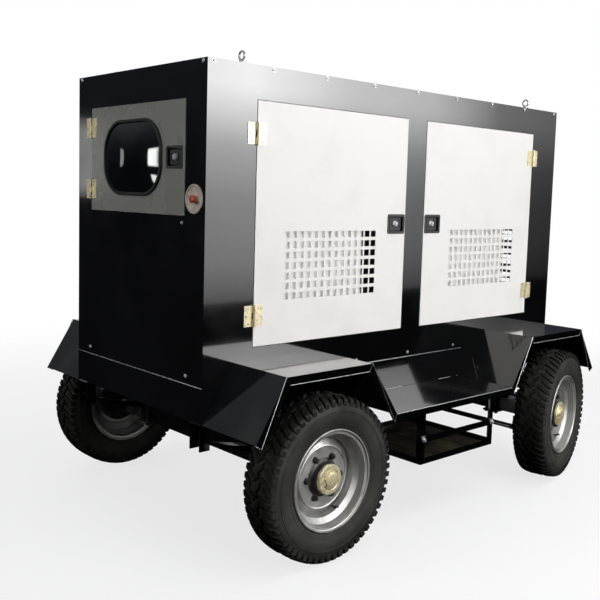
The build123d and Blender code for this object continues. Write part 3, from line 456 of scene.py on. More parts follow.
def rounded(width, height, radius, steps=5):
    """The outline of a rectangle with round corners, centred on the origin."""
    outline = []
    for corner, (sx, sy) in enumerate(((1, 1), (-1, 1), (-1, -1), (1, -1))):
        for i in range(steps + 1):
            angle = math.pi / 2 * (corner + i / steps)
            outline.append((sx * (width / 2 - radius) + radius * math.cos(angle),
                            sy * (height / 2 - radius) + radius * math.sin(angle)))
    return outline


# ---- CAD nodes: finishes, and a small round on sheet edges ----
SLOT_OF = {row["node"]: row["material_slot"] for row in RECORD["subparts"]}
SOFT_EDGES = ("roof", "corner_posts", "side_frames", "end_walls", "base_frame", "fender_right",
              "fender_left", "door_right_rear", "door_right_front", "door_left_rear",
              "door_left_front", "door_control", "battery_tray", "tray_strap", "control_box",
              "rear_axle", "front_axle", "drawbar", "steering_yoke", "steering_knuckle_right",
              "steering_knuckle_left", "engine", "alternator", "radiator", "spring_hangers",
              "leaf_springs")
EDGE_ROUND = 0.0012
for node, obj in NODES.items():
    obj.data.materials.clear()
    obj.data.materials.append(MATERIALS[SLOT_OF[node]])
    if node in SOFT_EDGES:
        bevel = obj.modifiers.new("edge_round", "BEVEL")
        bevel.width = EDGE_ROUND
        bevel.segments = 2
        bevel.limit_method = "ANGLE"
        bevel.angle_limit = math.radians(50)
        bevel.use_clamp_overlap = True
        bevel.harden_normals = True


# =====================================================================================
# Wheels
# =====================================================================================
LUGS = 58
TYRE_R = (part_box("tyre_right_rear")[1][2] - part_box("tyre_right_rear")[0][2]) / 2
CARCASS_R = TYRE_R - 0.009
RIM_R = 0.222


WALL = (CARCASS_R - RIM_R) / 0.1435


def at_wall(radius):
    """A radius on the side wall, from a profile drawn for a wall 143.5 mm tall."""
    return RIM_R + (radius - RIM_R) * WALL


def tyre_skin():
    """Half profile of the tyre, from bead to crown: (distance out from the middle, radius)."""
    drawn = ((0.068, 0.205), (0.0715, 0.212), (0.072, 0.22), (0.0755, 0.2245),
            (0.079, 0.2265), (0.08, 0.23), (0.0815, 0.237), (0.0832, 0.2385), (0.084, 0.2425),
            (0.0888, 0.26), (0.0916, 0.278), (0.0925, 0.293), (0.0922, 0.306),
            (0.0932, 0.3075), (0.093, 0.311), (0.0912, 0.3125), (0.089, 0.326),
            (0.0862, 0.338), (0.085, 0.34), (0.08, 0.352), (0.066, 0.361),
            (0.04, 0.3645), (0.0, 0.3655))
    return [(out, at_wall(radius)) for out, radius in drawn]


def tread(piece, centre, spin):
    """Shoulder lugs that wrap onto the side wall, slanted centre blocks and a centre rib."""
    forward = spin.cross(rise(1))

    def at(out, radius, angle):
        return centre + spin * out + forward * radius * math.cos(angle) + Vector((0, 0,
                radius * math.sin(angle)))

    def strip(lines, lean, width, turn):
        """lines holds (out, inner radius, outer radius, share of the lean, share of the width)."""
        loops = []
        for out, low, high, share, wide in lines:
            mid = turn + lean * share
            half = width * wide / 2
            loops.append((at(out, low, mid - half), at(out, low, mid + half),
                          at(out, high, mid + half * 0.84), at(out, high, mid - half * 0.84)))
        piece.chain(loops)

    pitch = math.tau / LUGS
    for hand in (-1, 1):
        for k in range(LUGS):
            turn = pitch * (k + (0.5 if hand > 0 else 0.0))
            long_lug = k % 2 == 0
            inner_end = 0.02 if long_lug else 0.04
            deep = CARCASS_R - 0.0075
            strip(((hand * 0.0875, at_wall(0.33), at_wall(0.336), 0.0, 0.6),
                   (hand * 0.089, at_wall(0.343), at_wall(0.356), 0.0, 0.66),
                   (hand * 0.085, at_wall(0.345), TYRE_R - 0.0095, 0.0, 0.66),
                   (hand * 0.072, deep - 0.006, TYRE_R - 0.0045, 0.1, 0.6),
                   (hand * 0.05, deep - 0.003, TYRE_R - 0.0012, 0.55, 0.56),
                   (hand * inner_end, deep, TYRE_R, 1.0, 0.5)), hand * pitch * 0.75, pitch, turn)
    blocks = LUGS
    for k in range(blocks):
        turn = pitch * (k + 0.25)
        swing = 0.007 if k % 2 else -0.007
        strip(((swing - 0.013, CARCASS_R - 0.0075, TYRE_R, -0.5, 0.72),
               (swing, CARCASS_R - 0.0075, TYRE_R, 0.0, 0.8),
               (swing + 0.013, CARCASS_R - 0.0075, TYRE_R, 0.5, 0.72)), pitch * 0.55, pitch, turn)


HUB_END = JOINTS["wheel_spin_right_rear"]["pos_m"][1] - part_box("wheel_hub_right_rear")[0][1]
HUB_START = JOINTS["wheel_spin_right_rear"]["pos_m"][1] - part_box("wheel_hub_right_rear")[1][1]


def wheel_set(name):
    joint = JOINTS[f"wheel_spin_{name}"]
    centre = Vector(joint["pos_m"])
    spin = Vector(joint["axis"]).normalized()
    side = -1 if centre.y < 0 else 1
    body = f"wheel_{name}"
    axis = spin * side
    forward = spin.cross(rise(1))
    half = tyre_skin()
    outer = list(half) + [(-out, radius) for out, radius in half[-2::-1]]
    inner = [(-0.058, 0.206), (-0.06, at_wall(0.34)), (0.06, at_wall(0.34)), (0.058, 0.206)]

    def skin(piece):
        piece.lathe(centre, axis, outer + inner, 96, closed=True)
        for ring_radius, ring_out in ((at_wall(0.2475), 0.0853), (at_wall(0.3005), 0.0922)):
            path = []
            for k in range(96):
                angle = math.tau * k / 96
                path.append(centre + axis * ring_out + forward * ring_radius * math.cos(angle)
                            + Vector((0, 0, ring_radius * math.sin(angle))))
            piece.tube(path, 0.0014, 6, closed=True)
    made(f"tyre_skin_{name}", "tyre_rubber", body, skin, replaces=(f"tyre_{name}",))

    def blocks(piece):
        tread(piece, centre, spin)
    made(f"tyre_tread_{name}", "tyre_rubber", body, blocks, material=MATERIALS["tread_rubber"],
         replaces=(f"tyre_{name}",), smooth=30.0)

    out_end = HUB_END

    def cap(piece):
        piece.stud(centre, axis, ((0.05, 0.0655), (0.056, 0.0665), (0.0625, 0.066),
                                   (0.0655, 0.0625), (0.0655, 0.048), (0.064, 0.046),
                                   (0.064, 0.0435), (0.0655, 0.0425)), 48)
        piece.stud(centre, axis, ((0.0655, 0.04), (0.0672, 0.039)), 40)
        piece.hexagon(centre + axis * 0.064, axis, 0.062, out_end - 0.064, 0.12)
    made(f"hub_cap_{name}", "zinc_yellow", body, cap)

    def barrel(piece):
        piece.lathe(centre, axis, ((HUB_START, 0.058), (-0.02, 0.058), (-0.004, 0.118),
                                   (0.0098, 0.118), (0.0165, 0.082), (0.0185, 0.075),
                                   (0.021, 0.0705), (0.0245, 0.0668), (0.054, 0.065),
                                   (0.054, 0.045), (HUB_START, 0.045)), 48, closed=True)
        for k in range(6):
            angle = math.tau * k / 6
            at = centre + forward * 0.095 * math.cos(angle) + Vector((0, 0, 0.095 * math.sin(angle)))
            piece.stud(at + axis * 0.014, axis,
                        ((0.0, 0.016), (0.0035, 0.015)), 20)
            piece.hexagon(at + axis * 0.0175, axis, 0.023, 0.015, 0.2)
            piece.stud(at + axis * 0.0325, axis,
                        ((0.0, 0.0082), (0.0045, 0.0075)), 12)
    made(f"hub_barrel_{name}", "hub_iron", body, barrel, replaces=(f"wheel_hub_{name}",))

    def details(piece):
        """The lock ring and the balance of the rim's beads."""
        piece.lathe(centre, axis, ((0.0775, 0.2224), (0.0825, 0.2217), (0.0845, 0.219),
                                   (0.084, 0.215), (0.0815, 0.2125), (0.078, 0.213)), 96, closed=True)
        piece.lathe(centre, axis, ((0.07, 0.2075), (0.0735, 0.208), (0.0745, 0.205),
                                   (0.0725, 0.2025), (0.0695, 0.203)), 96, closed=True)
        piece.lathe(centre, axis, ((0.014, 0.1405), (0.0185, 0.14), (0.0202, 0.136),
                                   (0.0185, 0.1315), (0.014, 0.1305)), 72, closed=True)
    made(f"rim_rings_{name}", "rim_silver", body, details)

    def valve(piece):
        angle = math.radians(-62)
        direction = forward * math.cos(angle) + Vector((0, 0, math.sin(angle)))
        start = centre + direction * 0.172 - axis * 0.006
        piece.tube((start, start + axis * 0.02, start + axis * 0.034 - direction * 0.006), 0.0042)
        piece.tube((start + axis * 0.03 - direction * 0.0055, start + axis * 0.046 - direction * 0.01),
                0.0052)
    made(f"valve_{name}", "hub_iron", body, valve)


for wheel in SIDE_DOORS:
    wheel_set(wheel)


# =====================================================================================
# Doors: latch pans, locks, hinge screws, inside lining
# =====================================================================================
PAN_W, PAN_H, PAN_DEPTH = 0.126, 0.098, 0.019


def facing(face, out, along):
    """A map from (u along the door, v up, depth outward) on a face to space."""
    face, out, along = Vector(face), Vector(out), Vector(along)

    def to_space(u, v, depth=0.0):
        return face + along * u + rise(1) * v + out * depth
    return to_space


def latch_set(name, handle, door_body, latch_body, out, along, face):
    centre = middle(handle)
    spot = Vector((centre.x, centre.y, centre.z))
    for i in range(3):
        if abs(out[i]) > 0.5:
            spot[i] = face
    to_space = facing(spot, out, along)
    outer = rounded(PAN_W, PAN_H, 0.009)
    lip = rounded(PAN_W - 0.018, PAN_H - 0.018, 0.005)
    wall = rounded(PAN_W - 0.024, PAN_H - 0.024, 0.004)

    def pan(piece):
        piece.frame_ring(outer, lip, 0.0028, lambda u, v, d: to_space(u, v, d + 0.0001))
        piece.frame_ring(lip, wall, 0.0022, lambda u, v, d: to_space(u, v, d - 0.0002))
        piece.frame_ring(rounded(PAN_W - 0.02, PAN_H - 0.02, 0.005), wall, PAN_DEPTH,
                         lambda u, v, d: to_space(u, v, 0.001 - d))
        piece.plate(rounded(PAN_W - 0.02, PAN_H - 0.02, 0.005), 0.0015,
                    lambda u, v, d: to_space(u, v, -PAN_DEPTH - d))
    made(f"latch_pan_{name}", "latch_black", door_body, pan)

    def plate(piece):
        piece.frame_ring(rounded(0.08, 0.06, 0.006), rounded(0.066, 0.046, 0.004), 0.0016,
                         lambda u, v, d: to_space(u, v, -0.006 + d))
        for u in (-0.026, 0.026):
            piece.frame_ring(rounded(0.01, 0.036, 0.0035), rounded(0.006, 0.032, 0.0025), 0.0012,
                             lambda s, v, d, at=u: to_space(s + at, v, -0.006 + d))
    made(f"latch_paddle_rim_{name}", "latch_black", latch_body, plate)

    def lock(piece):
        axis = Vector(out)
        base = to_space(0.0, 0.0, -0.0058)
        piece.stud(base, axis, ((0.0, 0.016), (0.0022, 0.0155), (0.003, 0.0135),
                                 (0.0062, 0.013), (0.0075, 0.0115)), 32)
        for turn in (0, 60, 120):
            angle = math.radians(turn + 90)
            for sign in (-1, 1):
                u, v = sign * 0.0085 * math.cos(angle), sign * 0.0085 * math.sin(angle)
                piece.stud(to_space(u, v, 0.0012), axis,
                            ((0.0, 0.0026), (0.0016, 0.0022)), 10)
        piece.plate(rounded(0.007, 0.024, 0.003), 0.0055, lambda u, v, d: to_space(u, v, 0.0012 + d))
        piece.plate(rounded(0.018, 0.006, 0.0025), 0.0045, lambda u, v,
                d: to_space(u, v + 0.006, 0.0012 + d))
    made(f"latch_lock_{name}", "bright_steel", latch_body, lock)


def hinge_screws(name, body, places, out):
    def heads(piece):
        for place in places:
            piece.lathe(place, out, ((0.0, 0.0), (0.0, 0.0046), (0.0012, 0.0044), (0.0024, 0.003),
                                     (0.0028, 0.0)), 14)
    made(f"hinge_screws_{name}", "bright_steel", body, heads)


HINGE_Z = (1.0275, 1.8135)
LEAF_OUT = 0.0045
frame_screws = []
for door in SIDE_DOORS:
    side = -1 if door.startswith("right") else 1
    end = 1 if door.endswith("rear") else -1
    out = (0, side, 0)
    along = (1, 0, 0)
    face_y = side * (HALF_W + 0.002)
    latch_set(door, f"latch_handle_{door}", f"side_door_{door}", f"latch_{door}", out, along, face_y)
    door_lo, door_hi = box(f"door_{door}")
    pin_x = (door_lo.x if end > 0 else door_hi.x) - end * 0.0015
    door_places = []
    for z in HINGE_Z:
        for dz in (-0.034, 0.0, 0.034):
            inset = 0.034 if dz == 0.0 else 0.024
            door_places.append(Vector((pin_x + end * (inset + 0.004), side * (HALF_W + LEAF_OUT), z + dz)))
            frame_screws.append((Vector((pin_x - end * (inset + 0.004), side * (HALF_W + 0.0025),
                    z + dz)), out))
    hinge_screws(door, f"side_door_{door}", door_places, out)

    lining_x = (door_lo.x + 0.03, door_hi.x - 0.03)
    back_y = door_hi.y if side < 0 else door_lo.y

    def lining(piece):
        """Ribbed foam on the upper half of the door's inside."""
        z0, z1 = door_lo.z + 0.66, door_hi.z - 0.03
        count = 9
        pitch = (lining_x[1] - lining_x[0]) / count
        for i in range(count):
            y0, y1 = sorted((back_y - side * 0.001, back_y + side * 0.018))
            piece.block((lining_x[0] + pitch * i + 0.002, y0, z0),
                        (lining_x[0] + pitch * (i + 1) - 0.002, y1, z1), 0.004)
    made(f"door_foam_{door}", "fan_plastic", f"side_door_{door}", lining, material=MATERIALS["foam"])

# ---- control door ----
control_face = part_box("door_control")[0][0]
latch_set("control", "latch_handle_control", "control_door", "latch_control", (-1, 0, 0), (0, 1, 0),
          control_face)
control_lo, control_hi = box("door_control")
pin_y = control_hi.y + 0.0015
places = []
for z in (1.5585, 1.8525):
    for dz in (-0.034, 0.0, 0.034):
        inset = 0.038 if dz == 0.0 else 0.028
        places.append(Vector((REAR_X - LEAF_OUT, pin_y - inset, z + dz)))
        frame_screws.append((Vector((REAR_X - 0.0025, pin_y + inset, z + dz)), (-1, 0, 0)))
hinge_screws("control", "control_door", places, (-1, 0, 0))


def post_screws(piece):
    for place, out in frame_screws:
        piece.lathe(place, out, ((0.0, 0.0), (0.0, 0.0046), (0.0012, 0.0044), (0.0024, 0.003),
                                 (0.0028, 0.0)), 14)


made("hinge_screws_frame", "bright_steel", "body", post_screws)

GLASS_LO, GLASS_HI = box("window_glass")
GLASS_MID = (GLASS_LO + GLASS_HI) / 2


def dome(piece):
    """The window bulges a little, flatter in its middle."""
    base = GLASS_HI.x - 0.004
    steps_out, bulge = 14, base - GLASS_LO.x - 0.001
    half_u = (GLASS_HI.y - GLASS_LO.y) / 2 - 0.002
    half_v = (GLASS_HI.z - GLASS_LO.z) / 2 - 0.002
    edge = rounded(2 * half_u, 2 * half_v, 0.134, 12)
    rings = []
    for i in range(steps_out):
        share = i / steps_out
        height = bulge * (1 - (1 - share) ** 2.2) if i else 0.0
        rings.append([piece.mesh.verts.new((base - height, GLASS_MID.y + u * (1 - share),
                                            GLASS_MID.z + v * (1 - share))) for u, v in edge])
    for first, second in zip(rings, rings[1:]):
        for k in range(len(edge)):
            n = (k + 1) % len(edge)
            piece.mesh.faces.new((first[k], first[n], second[n], second[k]))
    tip = piece.mesh.verts.new((base - bulge, GLASS_MID.y, GLASS_MID.z))
    for k in range(len(edge)):
        piece.mesh.faces.new((rings[-1][k], rings[-1][(k + 1) % len(edge)], tip))


made("window_dome", "dark_glass", "control_door", dome, replaces=("window_glass",), smooth=60.0)


# =====================================================================================
# Canopy fixings
# =====================================================================================
def domed_bolt(piece, at, out, radius=0.0065):
    piece.lathe(at, out, ((0.0, 0.0), (0.0, radius * 1.45), (0.0014, radius * 1.4), (0.0014, radius),
                          (0.004, radius * 0.92), (0.0058, radius * 0.6), (0.0064, 0.0)), 18)


def roof_fixings(piece):
    bolt_z = middle("roof_bolts").z
    for side in (-1, 1):
        for i in range(9):
            domed_bolt(piece, Vector((REAR_X + 0.03 + 0.3175 * i, side * HALF_W, bolt_z)), (0, side, 0))
    for y in (-HALF_W + 0.03, HALF_W - 0.03):
        domed_bolt(piece, Vector((REAR_X, y, bolt_z)), (-1, 0, 0))
        domed_bolt(piece, Vector((FRONT_X, y, bolt_z)), (1, 0, 0))


made("roof_domed_bolts", "bright_steel", "body", roof_fixings, replaces=("roof_bolts",))


def lifting_rings(piece):
    """Forged eye bolts with a collar and a washer."""
    for x in (REAR_X + 0.191, REAR_X + 2.296):
        for side in (-1, 1):
            foot = Vector((x, side * (HALF_W - 0.025), ROOF_HI.z))
            piece.stud(foot, (0, 0, 1), ((0.0, 0.019), (0.0025, 0.0185), (0.003, 0.0145),
                                          (0.008, 0.0135), (0.011, 0.0085)), 28)
            centre = foot + rise(0.0305)
            path = [(centre.x, centre.y + 0.018 * math.cos(math.tau * k / 36),
                     centre.z + 0.018 * math.sin(math.tau * k / 36)) for k in range(36)]
            piece.tube(path, 0.0045, 12, closed=True)


made("lifting_eye_bolts", "bright_steel", "body", lifting_rings, replaces=("lifting_eyes",))


def end_bolts(piece):
    """Small bolts under the control door, and along the seams of the end walls."""
    domed_bolt(piece, Vector((REAR_X, control_lo.y + 0.02, control_lo.z - 0.03)), (-1, 0, 0), 0.005)
    for y in (-0.42, 0.42):
        domed_bolt(piece, Vector((REAR_X, y, BODY_LO.z + 0.035)), (-1, 0, 0), 0.006)
        domed_bolt(piece, Vector((FRONT_X, y, BODY_LO.z + 0.035)), (1, 0, 0), 0.006)
    for side in (-1, 1):
        for i in range(7):
            x = REAR_X + 0.16 + i * 0.38
            domed_bolt(piece, Vector((x, side * HALF_W, BASE_HI.z + 0.022)), (0, side, 0), 0.0055)


made("panel_bolts", "bright_steel", "body", end_bolts)


def painted_seam_highlights(piece):
    """A painted highlight: thin bright strips along the edge where the canopy stands on the base."""
    z = BASE_HI.z
    piece.block((REAR_X - 0.0016, -HALF_W + 0.004, z - 0.0016),
            (REAR_X + 0.002, HALF_W - 0.004, z + 0.0012), 0.0004)
    piece.block((FRONT_X - 0.002, -HALF_W + 0.004, z - 0.0016),
            (FRONT_X + 0.0016, HALF_W - 0.004, z + 0.0012), 0.0004)
    for side in (-1, 1):
        y0, y1 = sorted((side * (HALF_W - 0.002), side * (HALF_W + 0.0016)))
        piece.block((REAR_X + 0.9, y0, z - 0.0016), (REAR_X + 1.75, y1, z + 0.0012), 0.0004)


# Bright steel strips that paint a highlight along the seam over the base.
made("base_seam_painted_highlight", "bright_steel", "body", painted_seam_highlights)


def painted_lip_highlights(piece):
    """A painted highlight: a thin bright line along each fender's outer edge, standing in for the light
    the edge catches.
    """
    for node in ("fender_right", "fender_left"):
        lo, hi = box(node)
        side = -1 if node == "fender_right" else 1
        edge = lo.y if side < 0 else hi.y
        crest = {}
        for v in NODES[node].data.vertices:
            at = NODES[node].matrix_world @ v.co
            if abs(at.y - edge) < 0.002:
                key = round(at.x, 2)
                crest[key] = max(crest.get(key, at.z), at.z)
        line = [(x, edge + side * 0.0004, crest[x] - 0.0006) for x in sorted(crest)]
        if len(line) > 1:
            piece.tube(line, 0.0013, 6)


# Bright steel tubes that paint a highlight along the fender lips.
made("fender_lip_lines", "bright_steel", "body", painted_lip_highlights)


# ---- emergency stop ----
PLATE_LO, PLATE_HI = box("emergency_stop_plate")
PLATE_MID = (PLATE_LO + PLATE_HI) / 2
BUTTON_LO, BUTTON_HI = box("emergency_stop_button")
BUTTON_MID = (BUTTON_LO + BUTTON_HI) / 2


def stop_dish(piece):
    face = Vector((REAR_X, PLATE_MID.y, PLATE_MID.z))
    radius = (PLATE_HI.z - PLATE_LO.z) / 2
    piece.stud(face, (-1, 0, 0), ((0.0, radius), (0.0035, radius), (0.0055, radius - 0.003),
                                   (0.0048, radius - 0.007), (0.0012, radius - 0.01),
                                   (0.0003, radius - 0.014)), 56)
    collar = Vector((REAR_X - 0.0004, BUTTON_MID.y, BUTTON_MID.z))
    piece.lathe(collar, (-1, 0, 0), ((0.0, 0.0088), (0.0, 0.019), (0.004, 0.018), (0.0052, 0.0145),
                                     (0.0072, 0.014), (0.0072, 0.0088)), 40, closed=True)
    for k in range(3):
        angle = math.tau * k / 3 + 0.5
        spot = face + Vector((-0.0003, 0.041 * math.cos(angle), 0.041 * math.sin(angle)))
        piece.stud(spot, (-1, 0, 0), ((0.0, 0.0045), (0.0016, 0.004)), 12)


made("stop_dish", "stop_plate_plastic", "body", stop_dish, replaces=("emergency_stop_plate",))


def mushroom(piece):
    centre = Vector((BUTTON_HI.x, BUTTON_MID.y, BUTTON_MID.z))
    reach = BUTTON_HI.x - BUTTON_LO.x
    radius = (BUTTON_HI.z - BUTTON_LO.z) / 2
    piece.lathe(centre, (-1, 0, 0), ((0.0, 0.0), (0.0, 0.0075), (reach - 0.012, 0.0075),
                                     (reach - 0.0118, radius - 0.001), (reach - 0.01, radius),
                                     (reach - 0.005, radius), (reach - 0.0015, radius - 0.003),
                                     (reach - 0.0003, radius - 0.008), (reach, 0.0)), 36)


made("stop_mushroom", "red_plastic", "stop_button", mushroom, replaces=("emergency_stop_button",))


# =====================================================================================
# Chassis details
# =====================================================================================
def spring_clamps(piece):
    """U-bolts over each axle, with their nuts, and the shackle bolts' heads."""
    for node, width in (("rear_axle", 0.04), ("front_axle", 0.04)):
        axle = middle(node)
        for side in (-1, 1):
            y = side * (HALF_W - 0.05)
            for dx in (-0.052, 0.052):
                for dy in (-0.034, 0.034):
                    low = Vector((axle.x + dx, y + dy, axle.z - 0.058))
                    piece.tube((low, low + rise(0.15)), 0.0065, 10)
                    piece.hexagon(low + rise(0.008), (0, 0, -1), 0.02, 0.011)
                arc = [(axle.x + dx, y - 0.034 * math.cos(math.pi * k / 8),
                        axle.z + 0.09 + 0.012 * math.sin(math.pi * k / 8)) for k in range(9)]
                piece.tube(arc, 0.0065, 10)
            piece.block((axle.x - 0.07, y - 0.046, axle.z - 0.054),
                    (axle.x + 0.07, y + 0.046, axle.z - 0.042), 0.002)
    hanger_lo, hanger_hi = box("spring_hangers")
    for node in ("rear_axle", "front_axle"):
        axle = middle(node)
        for side in (-1, 1):
            for end in (-1, 1):
                at = Vector((axle.x + end * 0.378, side * (HALF_W - 0.05 + 0.038), hanger_lo.z + 0.02))
                piece.hexagon(at, (0, side, 0), 0.022, 0.009)


made("spring_clamps", "hub_iron", "body", spring_clamps)

TRAY_LO, TRAY_HI = box("battery_tray")


def tray_sheet(piece):
    z = TRAY_LO.z + 0.0042
    piece.block((TRAY_LO.x + 0.006, TRAY_LO.y + 0.006, z),
            (TRAY_HI.x - 0.006, TRAY_HI.y - 0.006, z + 0.0012), 0.0004)
    for i in range(3):
        x = TRAY_LO.x + (TRAY_HI.x - TRAY_LO.x) * (i + 1) / 4
        piece.block((x - 0.012, TRAY_LO.y + 0.012, z + 0.001),
                (x + 0.012, TRAY_HI.y - 0.012, z + 0.005), 0.0015)


made("tray_sheet", "zinc_yellow", "body", tray_sheet, material=MATERIALS["tray_floor"])
STRAP_LO, STRAP_HI = box("tray_strap")


def strap_bolts(piece):
    z = (STRAP_LO.z + STRAP_HI.z) / 2
    face = STRAP_HI.y - 0.004
    for x in (STRAP_LO.x + 0.015, STRAP_HI.x - 0.015):
        at = Vector((x, face, z))
        piece.stud(at, (0, -1, 0), ((0.0, 0.0135), (0.002, 0.013)), 20)
        piece.hexagon(at + Vector((0, -0.002, 0)), (0, -1, 0), 0.019, 0.0078)


made("strap_bolts", "bright_steel", "body", strap_bolts)


def fender_stiffeners(piece):
    """Angle brackets that carry the fenders off the base frame."""
    for side, node in ((-1, "fender_right"), (1, "fender_left")):
        lo, hi = box(node)
        for x in (REAR_X + 0.2, REAR_X + 0.6, REAR_X + 1.94, REAR_X + 2.35):
            y0, y1 = sorted((side * HALF_W, side * (HALF_W + 0.3)))
            piece.block((x - 0.018, y0, hi.z - 0.01), (x + 0.018, y1, hi.z - 0.0042), 0.001)
            y0, y1 = sorted((side * HALF_W, side * (HALF_W + 0.006)))
            piece.block((x - 0.018, y0, hi.z - 0.1), (x + 0.018, y1, hi.z - 0.0042), 0.001)
            piece.chain([[(x + dx, side * HALF_W, hi.z - 0.09),
                    (x + dx, side * (HALF_W + 0.006), hi.z - 0.09),
                          (x + dx, side * (HALF_W + 0.25), hi.z - 0.012),
                                  (x + dx, side * HALF_W, hi.z - 0.012)]
                         for dx in (-0.003, 0.003)])
        for x in (REAR_X + 1.0, REAR_X + 1.65):
            y0, y1 = sorted((side * HALF_W, side * (HALF_W + 0.34)))
            piece.block((x - 0.02, y0, 0.5275), (x + 0.02, y1, 0.5767), 0.002)


made("fender_brackets", "black_paint", "body", fender_stiffeners)


for hand in ("right", "left"):
    king = JOINTS[f"steer_{hand}"]["pos_m"][1]
    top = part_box(f"steering_knuckle_{hand}")[1][2]

    def grease_cap(piece, y=king, z=top):
        at = Vector((middle("front_axle").x, y, z - 0.002))
        piece.lathe(at, (0, 0, 1), ((0.0, 0.0), (0.0, 0.019), (0.0025, 0.019), (0.006, 0.01),
                                    (0.0065, 0.0)), 24)
    made(f"grease_cap_{hand}", "bright_steel", f"knuckle_{hand}", grease_cap)

ROD_LO, ROD_HI = box("tie_rod")


def rod_ends(piece):
    x = (ROD_LO.x + ROD_HI.x) / 2
    z = middle("tie_rod").z
    for y in (ROD_LO.y + 0.06, ROD_HI.y - 0.06):
        piece.stud(Vector((x, y - 0.012, ROD_LO.z + 0.016)), (0, 1, 0),
                    ((0.0, 0.0175), (0.024, 0.0175)), 6)


made("tie_rod_lock_nuts", "bright_steel", "tie_rod", rod_ends)


def drawbar_trim(piece):
    """Gusset plates over the nose of the A-frame and a collar round the towing eye."""
    reach = Vector((TOW_EYE.x - KING_PIN.x, TOW_EYE.y - KING_PIN.y)).length
    eye = Vector((KING_PIN.x + reach, 0, 0.0))
    for k in range(2):
        z = 0.034 if k else 0.0
        piece.lathe(Vector((eye.x, 0, z)), (0, 0, 1 if k else -1),
                    ((-0.004, 0.0265), (-0.004, 0.046), (0.0008, 0.044), (0.0008, 0.028)), 40, closed=True)
    nose = Vector((eye.x - 0.145, 0, 0.072))
    piece.chain([[nose + Vector((-0.17, -0.068, dz + 0.044)), nose + Vector((-0.17, 0.068, dz + 0.044)),
                  nose + Vector((0.035, 0.03, dz - 0.006)), nose + Vector((0.035, -0.03, dz - 0.006))]
                 for dz in (0.0, 0.005)])
    piece.turned(KING_PIN, STEER)


made("drawbar_gusset", "black_paint", "drawbar", drawbar_trim)


# =====================================================================================
# Inside the canopy
# =====================================================================================
BOX_LO, BOX_HI = box("control_box")


def instruments():
    face_x = BOX_LO.x
    out = (-1, 0, 0)
    top = BOX_HI.z

    def plate(piece):
        piece.block((face_x - 0.004, BOX_LO.y + 0.03, top - 0.45),
                (face_x + 0.001, BOX_HI.y - 0.03, top - 0.02), 0.001)
    made("instrument_plate", "black_paint", "body", plate, material=MATERIALS["panel_face"])

    def bezels(piece):
        for i in range(4):
            for j in range(2):
                at = Vector((face_x - 0.004, -0.21 + 0.14 * i, top - 0.105 - 0.125 * j))
                piece.stud(at, out, ((0.0, 0.052), (0.008, 0.052), (0.011, 0.048),
                                      (0.006, 0.0455)), 36)
        piece.block((face_x - 0.014, -0.235, top - 0.41), (face_x - 0.003, -0.055, top - 0.295), 0.004)
        for i in range(3):
            piece.block((face_x - 0.03, 0.01 + i * 0.085, top - 0.405),
                    (face_x - 0.003, 0.08 + i * 0.085, top - 0.3), 0.004)
    made("instrument_bezels", "fan_plastic", "body", bezels)

    def dials(piece):
        for i in range(4):
            for j in range(2):
                at = Vector((face_x - 0.0102, -0.21 + 0.14 * i, top - 0.105 - 0.125 * j))
                piece.stud(at, out, ((-0.0015, 0.045), (0.0, 0.0448)), 36)
        piece.plate([(u - 0.145, v + top - 0.352) for u, v in rounded(0.12, 0.062, 0.004)], 0.0012,
                    lambda u, v, d: Vector((face_x - 0.0145 - d, u, v)))
    made("instrument_dials", "stop_plate_plastic", "body", dials, material=MATERIALS["dial_white"])

    def needles(piece):
        for i in range(4):
            for j in range(2):
                at = Vector((face_x - 0.0125, -0.21 + 0.14 * i, top - 0.105 - 0.125 * j))
                turn = Matrix.Rotation(math.radians(35 - 22 * i + 15 * j), 3, "X")
                piece.block(at + Vector((-0.0008, -0.0012, -0.006)), at + Vector((0.0008, 0.0012, 0.034)),
                            0.0003, turn, at)
                for k in range(9):
                    angle = math.radians(-60 + 15 * k)
                    tick = at + Vector((0.0006, 0.038 * math.sin(angle), 0.038 * math.cos(angle)))
                    piece.block(tick - Vector((0.0005, 0.0008, 0.0032)),
                            tick + Vector((0.0005, 0.0008, 0.0032)),
                                0.0002, Matrix.Rotation(-angle, 3, "X"), tick)
        for i in range(3):
            piece.block((face_x - 0.04, 0.036 + i * 0.085, top - 0.365),
                    (face_x - 0.028, 0.054 + i * 0.085, top - 0.338), 0.002)
    made("instrument_needles", "hub_iron", "body", needles)

    def lamps(piece):
        for i in range(5):
            at = Vector((face_x - 0.004, 0.285, top - 0.39 + 0.075 * i))
            piece.lathe(at, out, ((0.0, 0.0), (0.0, 0.013), (0.006, 0.013), (0.007, 0.01),
                                  (0.013, 0.0085), (0.0155, 0.0)), 20)
    made("instrument_lamps", "red_plastic", "body", lamps)


instruments()
ENGINE_LO, ENGINE_HI = box("engine")


